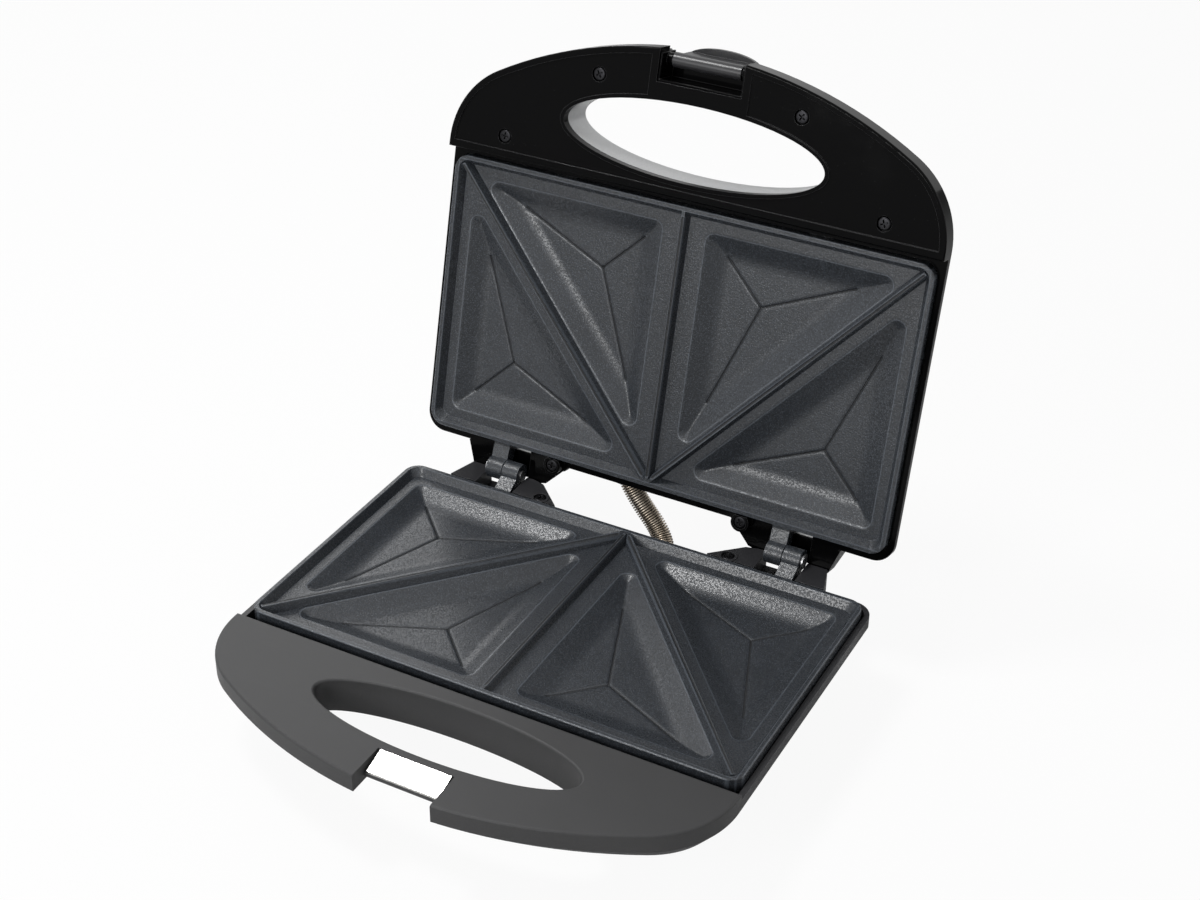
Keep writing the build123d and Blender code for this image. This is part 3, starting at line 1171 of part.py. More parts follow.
def reflector_form():
    """A folded tray behind the element: floor, walls, notched tabs and slots for the tails."""
    length = REFLECTOR_REAR_Y - REFLECTOR_FRONT_Y
    middle_y = (REFLECTOR_REAR_Y + REFLECTOR_FRONT_Y) / 2
    wall_depth = REFLECTOR_DEPTH - REFLECTOR_WALL
    tab_depths = (ELEMENT_DEPTH + TAIL_ROOM, REFLECTOR_BACK)
    with BuildPart() as tray:
        for inset, end_depth, mode in (
            (0, REFLECTOR_BACK, Mode.ADD),
            (REFLECTOR_SHEET, REFLECTOR_DEPTH, Mode.SUBTRACT),
        ):
            with BuildSketch(Plane.XY.offset(wall_depth)):
                with Locations((0, middle_y)):
                    RectangleRounded(
                        2 * (REFLECTOR_HALF_WIDTH - inset), length - 2 * inset, REFLECTOR_CORNER - inset
                    )
            extrude(amount=end_depth - wall_depth, mode=mode)
        for run_y in (ELEMENT_FRONT_Y, ELEMENT_REAR_Y):
            tab_y = (run_y - TAB_WIDTH / 2, run_y + TAB_WIDTH / 2)
            add(mirrored_slabs((TAB_X, TAB_X + REFLECTOR_SHEET), tab_y, tab_depths))
            seat_reach = TAB_X + PAST
            seat_radius = ELEMENT_RADIUS + ELEMENT_FIT
            seat = bar_across(run_y, ELEMENT_DEPTH, seat_radius, -seat_reach, seat_reach)
            add(seat, mode=Mode.SUBTRACT)
        tail_half = ELEMENT_RADIUS + TAIL_ROOM
        tail_x = (ELEMENT_TAIL_X - tail_half, ELEMENT_TAIL_X + tail_half)
        tail_room = (wall_depth - 1, ELEMENT_DEPTH + tail_half)
        slot_y = (REFLECTOR_REAR_Y - 3, REFLECTOR_REAR_Y + 3)
        add(mirrored_slabs(tail_x, slot_y, tail_room), mode=Mode.SUBTRACT)
        add(posts(REFLECTOR_SCREWS, SCREW_BORE, 0, BASE_DEPTH), mode=Mode.SUBTRACT)
    return tray.part


def thermostat_form():
    """A disc thermostat behind the wells, its stud reaching the back of the land."""
    face = WELL_BACK + RUNNING_GAP
    back = face + THERMOSTAT_HEIGHT
    place = [(0, THERMOSTAT_Y)]
    with BuildPart() as disc:
        add(posts(place, THERMOSTAT_RADIUS, face, back))
        add(posts(place, THERMOSTAT_STUD, SHEET_DEPTH + RUNNING_GAP, face))
        blade_y = (THERMOSTAT_Y - BLADE_HALF, THERMOSTAT_Y + BLADE_HALF)
        add(mirrored_slabs(BLADE_X, blade_y, (back, back + BLADE_REACH)))
    return disc.part


def fuse_form():
    """A thermal fuse that lies in a clip on the reflector's floor."""
    x, y = FUSE_PLACE
    depth = REFLECTOR_DEPTH - FUSE_RADIUS - FUSE_LIFT
    end_x = x + FUSE_LENGTH
    clip_x = tuple(x + along for along in FUSE_CLIP)
    with BuildPart() as fuse:
        add(bar_across(y, depth, FUSE_RADIUS, x, end_x))
        add(bar_across(y, depth, FUSE_LEAD, x - FUSE_LEAD_REACH, end_x + FUSE_LEAD_REACH))
        add(slab(clip_x, (y - FUSE_CLIP_HALF, y + FUSE_CLIP_HALF), (depth, REFLECTOR_DEPTH)))
    return fuse.part


def terminal_block_form():
    """A three-way terminal block that stands on the housing's floor."""
    top = BASE_FLOOR - TERMINAL_HEIGHT
    middle_y = sum(TERMINAL_Y) / 2
    pitch = (TERMINAL_X[1] - TERMINAL_X[0]) / TERMINAL_WAYS
    middles = [TERMINAL_X[0] + pitch * (index + 0.5) for index in range(TERMINAL_WAYS)]
    well_radius, well_depth = TERMINAL_WELL
    bore_depth = top + TERMINAL_BORE_DROP
    with BuildPart() as block:
        add(slab(TERMINAL_X, TERMINAL_Y, (top, BASE_FLOOR)))
        wells = posts([(x, middle_y) for x in middles], well_radius, top - 1, top + well_depth)
        add(wells, mode=Mode.SUBTRACT)
        for x in middles:
            bore = bar_back(x, bore_depth, TERMINAL_BORE, TERMINAL_Y[0] - 1, TERMINAL_Y[1] + 1)
            add(bore, mode=Mode.SUBTRACT)
    return block.part


# ---------------------------------------------------------------- fasteners
def screw_group(places, seat, tip):
    """Pan-head screws whose heads bear at one depth and whose shanks reach another."""
    head_end = seat - SCREW_HEAD_HEIGHT if tip > seat else seat + SCREW_HEAD_HEIGHT
    with BuildPart() as screws:
        add(posts(places, SCREW_HEAD, head_end, seat))
        outer = Axis.Z if tip < seat else -Axis.Z
        fillet(screws.faces().sort_by(outer)[-len(places):].edges(), SCREW_HEAD_BLEND)
        add(posts(places, SCREW_SHANK, seat, tip))
    return screws.part


def hinge_pins_form():
    """Two headed pins through the hinge arms, heads outwards."""
    inner = HINGE_X - ARM_WIDTH - ARM_GAP / 2 - 0.6
    outer = HINGE_X + ARM_WIDTH + ARM_GAP / 2 + 0.1
    with BuildPart() as pins:
        add(bar_across(HINGE_Y, 0, HINGE_PIN_RADIUS, inner, outer))
        add(bar_across(HINGE_Y, 0, HINGE_PIN_HEAD, outer, outer + 1.0))
        mirror(about=Plane.YZ)
    return in_place(pins.part.moved(Location((0, 0, HINGE_Z))))


# ---------------------------------------------------------------- conduit spring
def carried(normal, way_from, way_to):
    """A normal carried along a plane bend, from one direction of travel to another."""
    bend_axis = way_from.cross(way_to)
    if bend_axis.length < 1e-6:
        return normal
    return normal.rotate(Axis((0, 0, 0), bend_axis), way_from.get_angle(way_to))


class Coil:
    """A helix wound evenly round a route of straight runs and arcs."""

    def __init__(self, edges, radius, pitch):
        self.edges = edges
        self.radius = radius
        self.turns = round(sum(edge.length for edge in edges) / pitch)
        self.pitch = sum(edge.length for edge in edges) / self.turns
        self.normals = [Vector(1, 0, 0)]
        for edge in edges:
            self.normals.append(carried(self.normals[-1], edge % 0, edge % 1))

    def place(self, turn):
        """The wire's centre after a number of turns."""
        left = turn * self.pitch
        index = 0
        while index < len(self.edges) - 1 and left > self.edges[index].length:
            left -= self.edges[index].length
            index += 1
        edge = self.edges[index]
        share = left / edge.length
        way = edge % share
        normal = carried(self.normals[index], edge % 0, way)
        angle = 2 * pi * turn
        return edge @ share + (normal * cos(angle) + way.cross(normal) * sin(angle)) * self.radius

    def way(self, turn):
        """The wire's direction of travel after a number of turns."""
        before = max(turn - COIL_STEP, 0)
        after = min(turn + COIL_STEP, self.turns)
        return (self.place(after) - self.place(before)).normalized()

    def least_gap(self, wire):
        """The least gap between one turn and the next, measured on points."""
        per_turn = COIL_CHECKS
        points = [self.place(index / per_turn) for index in range(self.turns * per_turn + 1)]
        near = min(
            (points[first] - points[second]).length
            for first in range(len(points))
            for second in range(first + per_turn // 2, min(first + 2 * per_turn, len(points)))
        )
        return near - 2 * wire


def biarc(start, start_way, end, end_way):
    """Start, end and direction of the two arcs that join one point and direction to another."""
    chord = end - start
    both = chord.dot(start_way + end_way)
    spread = 2 * (1 - start_way.dot(end_way))
    reach = (-both + (both**2 + spread * chord.dot(chord)) ** 0.5) / spread
    first = start + start_way * reach
    second = end - end_way * reach
    joint = (first + second) / 2
    return [(start, joint, start_way), (joint, end, second - first)]


def conduit_route():
    """Corners of the conduit's middle line, from its seat in the base to its seat in the lid."""
    seat_y = REAR_Y - FERRULE_SEAT + RUNNING_GAP + CONDUIT_WIRE
    base_seat = Vector(CONDUIT_BASE_X, seat_y, RIM_HEIGHT - CONDUIT_BASE_DEPTH)
    shut_z = RIM_HEIGHT + RIM_GAP + CONDUIT_LID_DEPTH
    shut = Vertex(CONDUIT_LID_X, seat_y, shut_z)
    outside = Vertex(CONDUIT_LID_X, seat_y + CONDUIT_LID_RUN, shut_z)
    lid_seat = shut.rotate(HINGE_AXIS, -LID_OPEN).center()
    lid_corner = outside.rotate(HINGE_AXIS, -LID_OPEN).center()
    return [base_seat, base_seat + Vector(0, CONDUIT_BASE_RUN, 0), lid_corner, lid_seat]


def conduit_spring_form():
    """One unbroken wire, wound round the route that the leads take between the halves."""
    with BuildLine() as route:
        FilletPolyline(*conduit_route(), radius=CONDUIT_BEND)
    coil = Coil(route.wire().edges(), CONDUIT_RADIUS - CONDUIT_WIRE, CONDUIT_PITCH)
    stations = [index / 2 for index in range(2 * coil.turns + 1)]
    print("conduit spring: turns", coil.turns, "least gap", round(coil.least_gap(CONDUIT_WIRE), 2))
    with BuildPart() as spring:
        with BuildLine():
            for turn, following in zip(stations, stations[1:]):
                arcs = biarc(coil.place(turn), coil.way(turn), coil.place(following), coil.way(following))
                for start, end, way in arcs:
                    TangentArc(start, end, tangent=way)
        with BuildSketch(Plane(origin=coil.place(0), z_dir=coil.way(0))):
            Circle(CONDUIT_WIRE)
        sweep()
    return in_place(spring.part)


# ---------------------------------------------------------------- pieces of the base
with BuildPart() as base_housing:
    add(in_base(base_housing_form()))
base_housing.part.label = "base_housing"
export_step(base_housing.part, "parts/base_housing.step")

with BuildPart() as lower_handle:
    add(in_base(lower_handle_form()))
lower_handle.part.label = "lower_handle"
export_step(lower_handle.part, "parts/lower_handle.step")

with BuildPart() as catch_plate:
    add(in_base(catch_plate_form()))
catch_plate.part.label = "catch_plate"
export_step(catch_plate.part, "parts/catch_plate.step")

with BuildPart() as rubber_feet:
    add(in_base(foot_form()))
rubber_feet.part.label = "rubber_feet"
export_step(rubber_feet.part, "parts/rubber_feet.step")

with BuildPart() as lower_element:
    add(in_base(element_form()))
lower_element.part.label = "lower_element"
export_step(lower_element.part, "parts/lower_element.step")

with BuildPart() as lower_reflector:
    add(in_base(reflector_form()))
lower_reflector.part.label = "lower_reflector"
export_step(lower_reflector.part, "parts/lower_reflector.step")

with BuildPart() as lower_reflector_screws:
    add(in_base(screw_group(REFLECTOR_SCREWS, REFLECTOR_DEPTH, REFLECTOR_SCREW_TIP)))
lower_reflector_screws.part.label = "lower_reflector_screws"
export_step(lower_reflector_screws.part, "parts/lower_reflector_screws.step")

with BuildPart() as thermostat:
    add(in_base(thermostat_form()))
thermostat.part.label = "thermostat"
export_step(thermostat.part, "parts/thermostat.step")

with BuildPart() as thermal_fuse:
    add(in_base(fuse_form()))
thermal_fuse.part.label = "thermal_fuse"
export_step(thermal_fuse.part, "parts/thermal_fuse.step")

with BuildPart() as terminal_block:
    add(in_base(terminal_block_form()))
terminal_block.part.label = "terminal_block"
export_step(terminal_block.part, "parts/terminal_block.step")

with BuildPart() as lower_plate_screws:
    add(in_base(screw_group(FRONT_LUGS, LUG_DEPTH, LOWER_LUG_TIP)))
lower_plate_screws.part.label = "lower_plate_screws"
export_step(lower_plate_screws.part, "parts/lower_plate_screws.step")

with BuildPart() as base_hinge_screws:
    add(in_base(screw_group(REAR_LUGS, BASE_BOSS_TOP + SCREW_HEAD_HEIGHT, BASE_HINGE_TIP)))
base_hinge_screws.part.label = "base_hinge_screws"
export_step(base_hinge_screws.part, "parts/base_hinge_screws.step")

with BuildPart() as handle_screws:
    add(in_base(screw_group(HANDLE_SCREWS, HANDLE_SCREW_SEAT, HANDLE_SCREW_TIP)))
handle_screws.part.label = "handle_screws"
export_step(handle_screws.part, "parts/handle_screws.step")

with BuildPart() as cord_gland:
    add(in_base(grommet(GLAND_X, GLAND_DEPTH, GLAND_RADIUS, GLAND_BORE, GLAND_BORE, GLAND_LIP)))
cord_gland.part.label = "cord_gland"
export_step(cord_gland.part, "parts/cord_gland.step")

with BuildPart() as conduit_base_ferrule:
    add(in_base(conduit_ferrule(CONDUIT_BASE_X, CONDUIT_BASE_DEPTH)))
conduit_base_ferrule.part.label = "conduit_base_ferrule"
export_step(conduit_base_ferrule.part, "parts/conduit_base_ferrule.step")

with BuildPart() as hinge_pins:
    add(hinge_pins_form())
hinge_pins.part.label = "hinge_pins"
export_step(hinge_pins.part, "parts/hinge_pins.step")

with BuildPart() as conduit_spring:
    add(conduit_spring_form())
conduit_spring.part.label = "conduit_spring"
export_step(conduit_spring.part, "parts/conduit_spring.step")


# ---------------------------------------------------------------- pieces of the lid
with BuildPart() as lid_frame:
    add(in_lid(lid_frame_form()))
lid_frame.part.label = "lid_frame"
export_step(lid_frame.part, "parts/lid_frame.step")

with BuildPart() as lid_shell:
    add(in_lid(lid_shell_form()))
lid_shell.part.label = "lid_shell"
export_step(lid_shell.part, "parts/lid_shell.step")

with BuildPart() as upper_element:
    add(in_lid(element_form()))
upper_element.part.label = "upper_element"
export_step(upper_element.part, "parts/upper_element.step")

with BuildPart() as upper_reflector:
    add(in_lid(reflector_form()))
upper_reflector.part.label = "upper_reflector"
export_step(upper_reflector.part, "parts/upper_reflector.step")

with BuildPart() as upper_reflector_screws:
    add(in_lid(screw_group(REFLECTOR_SCREWS, REFLECTOR_DEPTH, REFLECTOR_SCREW_TIP)))
upper_reflector_screws.part.label = "upper_reflector_screws"
export_step(upper_reflector_screws.part, "parts/upper_reflector_screws.step")

with BuildPart() as upper_plate_screws:
    add(in_lid(screw_group(FRONT_LUGS, LUG_DEPTH, UPPER_LUG_TIP)))
upper_plate_screws.part.label = "upper_plate_screws"
export_step(upper_plate_screws.part, "parts/upper_plate_screws.step")

with BuildPart() as lid_hinge_screws:
    add(in_lid(screw_group(REAR_LUGS, LID_BOSS_TOP + SCREW_HEAD_HEIGHT, LID_HINGE_TIP)))
lid_hinge_screws.part.label = "lid_hinge_screws"
export_step(lid_hinge_screws.part, "parts/lid_hinge_screws.step")

with BuildPart() as lid_frame_screws:
    add(in_lid(screw_group(HANDLE_SCREWS, FRAME_SCREW_SEAT, FRAME_SCREW_TIP)))
lid_frame_screws.part.label = "lid_frame_screws"
export_step(lid_frame_screws.part, "parts/lid_frame_screws.step")

with BuildPart() as power_lens:
    add(in_lid(lens_form(-LAMP_X)))
power_lens.part.label = "power_lens"
export_step(power_lens.part, "parts/power_lens.step")

with BuildPart() as ready_lens:
    add(in_lid(lens_form(LAMP_X)))
ready_lens.part.label = "ready_lens"
export_step(ready_lens.part, "parts/ready_lens.step")

with BuildPart() as indicator_lamps:
    add(in_lid(lamps_form()))
indicator_lamps.part.label = "indicator_lamps"
export_step(indicator_lamps.part, "parts/indicator_lamps.step")

with BuildPart() as lamp_holder:
    add(in_lid(lamp_holder_form()))
lamp_holder.part.label = "lamp_holder"
export_step(lamp_holder.part, "parts/lamp_holder.step")

with BuildPart() as latch_pin:
    add(in_lid(latch_pin_form()))
latch_pin.part.label = "latch_pin"
export_step(latch_pin.part, "parts/latch_pin.step")

with BuildPart() as conduit_lid_ferrule:
    add(in_lid(conduit_ferrule(CONDUIT_LID_X, CONDUIT_LID_DEPTH)))
conduit_lid_ferrule.part.label = "conduit_lid_ferrule"
export_step(conduit_lid_ferrule.part, "parts/conduit_lid_ferrule.step")

with BuildPart() as latch:
    add(in_lid(latch_form()))
latch.part.label = "latch"
export_step(latch.part, "parts/latch.step")
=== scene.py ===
"""A sandwich toaster: two cast plates, a leaning lid and a flip-over latch, ready to render.

Lengths are in metres. Both halves are drawn by plan and depth behind their plate's rim, about the
middle of the plates, and a Half turns such a place into the model's own frame.
"""

import functools
import json
import logging
import math
from dataclasses import dataclass, field
from enum import Enum
from typing import Iterable, Iterator, Sequence, Union

import bmesh
import bpy
import numpy as np
from mathutils import Matrix, Vector


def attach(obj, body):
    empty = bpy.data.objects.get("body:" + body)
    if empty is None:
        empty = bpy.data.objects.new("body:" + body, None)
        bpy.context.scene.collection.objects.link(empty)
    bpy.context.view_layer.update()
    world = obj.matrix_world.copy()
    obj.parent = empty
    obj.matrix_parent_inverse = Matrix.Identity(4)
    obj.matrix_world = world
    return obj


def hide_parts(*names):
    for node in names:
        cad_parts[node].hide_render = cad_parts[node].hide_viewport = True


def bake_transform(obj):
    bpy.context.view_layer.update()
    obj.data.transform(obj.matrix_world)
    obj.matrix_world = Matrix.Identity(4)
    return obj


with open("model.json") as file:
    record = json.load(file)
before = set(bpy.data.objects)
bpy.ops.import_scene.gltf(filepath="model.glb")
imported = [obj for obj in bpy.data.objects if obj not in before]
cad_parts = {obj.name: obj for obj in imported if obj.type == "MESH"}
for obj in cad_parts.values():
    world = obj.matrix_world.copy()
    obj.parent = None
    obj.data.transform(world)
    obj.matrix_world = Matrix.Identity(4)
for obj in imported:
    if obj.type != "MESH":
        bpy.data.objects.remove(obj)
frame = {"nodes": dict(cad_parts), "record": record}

LOG = logging.getLogger("sandwich_toaster")
Point = tuple[float, float, float]
Spot = Sequence[float]
Line = tuple[Spot, Spot]
Number = Union[int, float]

MM = 0.001
ORIGIN_BACK = 9.9 * MM
RIM_HEIGHT = 42.0 * MM
HINGE_Y = 76.3 * MM
HINGE_Z = 44.0 * MM
LID_OPEN = math.radians(104.0)
TOUCHING = 1e-7  # a radius below this is a point
EVEN: Point = (1, 1, 1)  # a grain that runs no way in particular
EDGE_HIGHLIGHT_SPAN = (0.985, 0.86)  # how far rounded and flat normals agree where the painted edge highlight starts and is full


class Half(Enum):
    """The two halves of the toaster, each drawn by plan and depth behind its rim."""

    BASE = "base"
    LID = "lid"

    def place(self, x: float, y: float, depth: float) -> Vector:
        """Turn a drawn place into the model's frame.

        Args:
            x: Place from the middle to the right.
            y: Place from the middle of the plates to the rear, as drawn.
            depth: Depth behind the plate's rim.

        Returns:
            The place in the model's frame.
        """
        if self is Half.BASE:
            return Vector((x, y - ORIGIN_BACK, RIM_HEIGHT - depth))
        out, turn = y - HINGE_Y, LID_OPEN
        back = HINGE_Y - ORIGIN_BACK + out * math.cos(turn) + depth * math.sin(turn)
        return Vector((x, back, HINGE_Z - out * math.sin(turn) + depth * math.cos(turn)))

    def matrix(self, x: float, y: float, depth: float) -> Matrix:
        """A frame at a drawn place whose z axis points out of the half's face."""
        origin = self.place(x, y, depth)
        out = (self.place(x, y, depth - 1.0) - origin).normalized()
        along = (self.place(x + 1.0, y, depth) - origin).normalized()
        rest = out.cross(along)
        turned = Matrix((along, rest, out)).transposed()
        return Matrix.Translation(origin) @ turned.to_4x4()

    def drawn(self, points: np.ndarray) -> np.ndarray:
        """Turn points of the model's frame back into x, y and depth as drawn.

        Args:
            points: One point a row, in the model's frame.

        Returns:
            The same points as x, y and depth.
        """
        x, y, z = points[:, 0], points[:, 1], points[:, 2]
        if self is Half.BASE:
            return np.stack((x, y + ORIGIN_BACK, RIM_HEIGHT - z), axis=1)
        cos, sin = math.cos(LID_OPEN), math.sin(LID_OPEN)
        back, rise = y - (HINGE_Y - ORIGIN_BACK), z - HINGE_Z
        return np.stack((x, HINGE_Y + back * cos - rise * sin, back * sin + rise * cos), axis=1)


# ---------------------------------------------------------------- shader graph
Operand = Union["Value", Number]


class Value:
    """One output socket of a shader graph, on which Python's operators add Math nodes."""

    def __init__(self, graph: "Graph", socket: bpy.types.NodeSocket) -> None:
        """Wrap a socket of a graph."""
        self.graph = graph
        self.socket = socket

    def _math(self, operation: str, *values: Operand) -> "Value":
        """Add a Math node with these inputs and return its result."""
        node = self.graph.add("ShaderNodeMath", {"operation": operation}, dict(enumerate(values)))
        return Value(self.graph, node.outputs[0])

    def __add__(self, other: Operand) -> "Value":
        """self + other."""
        return self._math("ADD", self, other)

    def __radd__(self, other: Number) -> "Value":
        """other + self."""
        return self._math("ADD", other, self)

    def __sub__(self, other: Operand) -> "Value":
        """self - other."""
        return self._math("SUBTRACT", self, other)

    def __rsub__(self, other: Number) -> "Value":
        """other - self."""
        return self._math("SUBTRACT", other, self)

    def __mul__(self, other: Operand) -> "Value":
        """self * other."""
        return self._math("MULTIPLY", self, other)

    def __rmul__(self, other: Number) -> "Value":
        """other * self."""
        return self._math("MULTIPLY", other, self)

    def __abs__(self) -> "Value":
        """The size of the value without its sign."""
        return self._math("ABSOLUTE", self)

    def least(self, other: Operand) -> "Value":
        """The smaller of the two."""
        return self._math("MINIMUM", self, other)

    def most(self, other: Operand) -> "Value":
        """The larger of the two."""
        return self._math("MAXIMUM", self, other)

    def root(self) -> "Value":
        """The square root."""
        return self._math("SQRT", self)

    def sign(self) -> "Value":
        """1 above zero and -1 below."""
        return self._math("SIGN", self)

    def ramp(self, start: float, end: float, low: float = 0.0, high: float = 1.0) -> "Value":
        """Map the value smoothly from one range to another.

        Args:
            start: Where the result is low.
            end: Where the result is high.
            low: Result at the start.
            high: Result at the end.

        Returns:
            The mapped value, held at its ends.
        """
        node = self.graph.add(
            "ShaderNodeMapRange",
            {"interpolation_type": "SMOOTHSTEP"},
            {"Value": self, "From Min": start, "From Max": end, "To Min": low, "To Max": high},
        )
        return Value(self.graph, node.outputs["Result"])


Feed = Union[Value, Number, Sequence[float], bpy.types.NodeSocket]
Owner = Union[bpy.types.Material, bpy.types.World]


class Graph:
    """A node tree of a material or a world, with one shader, built through a few short methods."""

    def __init__(self, owner: Owner, shader: str = "ShaderNodeBsdfPrincipled") -> None:
        """Empty the owner's tree and end it in one shader of the given type."""
        owner.use_nodes = True
        self.owner = owner
        self.tree = owner.node_tree
        self.tree.nodes.clear()
        kind = "World" if isinstance(owner, bpy.types.World) else "Material"
        self.shader = self.add(shader, {}, {})
        self.add(f"ShaderNodeOutput{kind}", {}, {"Surface": self.shader.outputs[0]})

    def feed(self, socket: bpy.types.NodeSocket, value: Feed) -> None:
        """Set a socket to a constant, or link it to what a node gives."""
        if isinstance(value, Value):
            self.tree.links.new(value.socket, socket)
        elif isinstance(value, bpy.types.NodeSocket):
            self.tree.links.new(value, socket)
        else:
            socket.default_value = value

    def add(self, kind: str, settings: dict, inputs: dict) -> bpy.types.Node:
        """Add a node.

        Args:
            kind: Blender's name of the node's type.
            settings: The node's own settings, set first.
            inputs: Values or links of its sockets, by name or place.

        Returns:
            The new node.
        """
        node = self.tree.nodes.new(kind)
        for name, value in settings.items():
            setattr(node, name, value)
        for key, value in inputs.items():
            self.feed(node.inputs[key], value)
        return node

    def place(self) -> bpy.types.NodeSocket:
        """Where the surface is, in the model's frame at rest."""
        return self.add("ShaderNodeTexCoord", {}, {}).outputs["Object"]

    def plan(self, half: Half) -> tuple[Value, Value]:
        """The drawn x, without its sign, and y of a surface of one half."""
        parts = self.add("ShaderNodeSeparateXYZ", {}, {0: self.place()})
        x, y, z = (Value(self, parts.outputs[index]) for index in range(3))
        if half is Half.BASE:
            return abs(x), y + ORIGIN_BACK
        cos, sin = math.cos(LID_OPEN), math.sin(LID_OPEN)
        return abs(x), (y - (HINGE_Y - ORIGIN_BACK)) * cos - (z - HINGE_Z) * sin + HINGE_Y

    def noise(self, size: float, detail: float = 2.0, stretch: Point = EVEN) -> Value:
        """Soft noise.

        Args:
            size: Length of a typical feature.
            detail: Octaves of finer noise.
            stretch: How many times longer a feature is along each axis.

        Returns:
            The noise, about 0 to 1.
        """
        scale = tuple(1.0 / (size * along) for along in stretch)
        scaled = self.add(
            "ShaderNodeVectorMath", {"operation": "MULTIPLY"}, {0: self.place(), 1: scale}
        )
        node = self.add(
            "ShaderNodeTexNoise", {}, {"Vector": scaled.outputs[0], "Scale": 1.0, "Detail": detail}
        )
        return Value(self, node.outputs[0])

    def cells(self, size: float) -> Value:
        """Distance to the middle of the nearest cell, in a pattern of cells of about one size."""
        node = self.add("ShaderNodeTexVoronoi", {}, {"Vector": self.place(), "Scale": 1 / size})
        return Value(self, node.outputs["Distance"])

    def mix(self, factor: Feed, first: Feed, second: Feed) -> bpy.types.NodeSocket:
        """Mix two colours."""
        node = self.add("ShaderNodeMix", {"data_type": "RGBA"}, {0: factor, 6: first, 7: second})
        return node.outputs[2]

    def bevel(self, radius: float) -> bpy.types.NodeSocket:
        """Normals that round every edge by a radius."""
        return self.add("ShaderNodeBevel", {"samples": 4}, {"Radius": radius}).outputs[0]

    def edge_highlight_mask(self, radius: float) -> Value:
        """A mask of the rounded edges, where a painted highlight goes."""
        flat = self.add("ShaderNodeNewGeometry", {}, {}).outputs["Normal"]
        turned = self.add(
            "ShaderNodeVectorMath", {"operation": "DOT_PRODUCT"}, {0: self.bevel(radius), 1: flat}
        )
        return Value(self, turned.outputs["Value"]).ramp(*EDGE_HIGHLIGHT_SPAN)

    def bump(
        self, height: Value, distance: float, strength: float = 1.0, edge: float = 0.25 * MM
    ) -> None:
        """Raise the surface and round its edges.

        Args:
            height: Height over the surface, 0 to 1.
            distance: What a height of 1 is.
            strength: Share of the effect.
            edge: Radius that every edge is rounded by.
        """
        inputs = {"Height": height, "Distance": distance, "Strength": strength}
        node = self.add("ShaderNodeBump", {}, {**inputs, "Normal": self.bevel(edge)})
        self.feed(self.shader.inputs["Normal"], node.outputs[0])

    def set(self, **values: Feed) -> None:
        """Set sockets of the shader by name, with underscores for spaces."""
        for name, value in values.items():
            self.feed(self.shader.inputs[name.replace("_", " ")], value)


def rgba(colour: Sequence[float]) -> tuple[float, float, float, float]:
    """A colour with full alpha."""
    return (colour[0], colour[1], colour[2], 1.0)


def toned(colour: Sequence[float], factor: float) -> tuple[float, float, float, float]:
    """A colour made lighter or darker."""
    return rgba([min(part * factor, 1.0) for part in colour])


Field = Union[Value, np.ndarray]


def least(first: Field, second: Union[Field, Number]) -> Field:
    """The smaller of two, as shader values or as arrays."""
    return first.least(second) if isinstance(first, Value) else np.minimum(first, second)


def most(first: Field, second: Union[Field, Number]) -> Field:
    """The larger of two, as shader values or as arrays."""
    return first.most(second) if isinstance(first, Value) else np.maximum(first, second)


def root(value: Field) -> Field:
    """The square root, of a shader value or an array."""
    return value.root() if isinstance(value, Value) else np.sqrt(value)


def sign(value: Field) -> Field:
    """1 above zero and -1 below, of a shader value or an array."""
    return value.sign() if isinstance(value, Value) else np.sign(value)


def least_of(values: Iterable[Field]) -> Field:
    """The smallest of several shader values or arrays."""
    return functools.reduce(least, values)


def segment_distance(x: Field, y: Field, start: Spot, end: Spot) -> Field:
    """Distance from a place on a half's plan to a line between two points.

    Args:
        x: Drawn x, without its sign.
        y: Drawn y.
        start: First end of the line.
        end: Other end of the line.

    Returns:
        The distance.
    """
    run = (end[0] - start[0], end[1] - start[1])
    length = math.hypot(*run)
    way = (run[0] / length, run[1] / length)
    off_x, off_y = x - start[0], y - start[1]
    along = least(most(off_x * way[0] + off_y * way[1], 0.0), length)
    across_x, across_y = off_x - along * way[0], off_y - along * way[1]
    return root(across_x * across_x + across_y * across_y)


def nearest_line(x: Field, y: Field, lines: Sequence[Line]) -> Field:
    """Distance from a place on a half's plan to the nearest of some lines."""
    return least_of(segment_distance(x, y, start, end) for start, end in lines)


def closed(corners: Sequence[Spot]) -> list[Line]:
    """The sides of an outline, from each corner to the next."""
    return list(zip(corners, [*corners[1:], corners[0]]))


def rounded_least(first: np.ndarray, second: np.ndarray, blend: float) -> np.ndarray:
    """The smaller of two arrays, with the crease between them rounded."""
    near = np.clip(blend - np.abs(first - second), 0, None) / blend
    return np.minimum(first, second) - near * near * (blend / 4)


# ---------------------------------------------------------------- finishes
@dataclass(frozen=True)
class Finish:
    """A finish of the object, named by its slot, with its ground colour."""

    name: str
    colour: Point

    def make(self) -> bpy.types.Material:
        """Build the material."""
        graph = Graph(bpy.data.materials.new(self.name))
        self.dress(graph)
        return graph.owner

    def dress(self, graph: Graph) -> None:
        """Add the finish's own nodes."""
        raise NotImplementedError


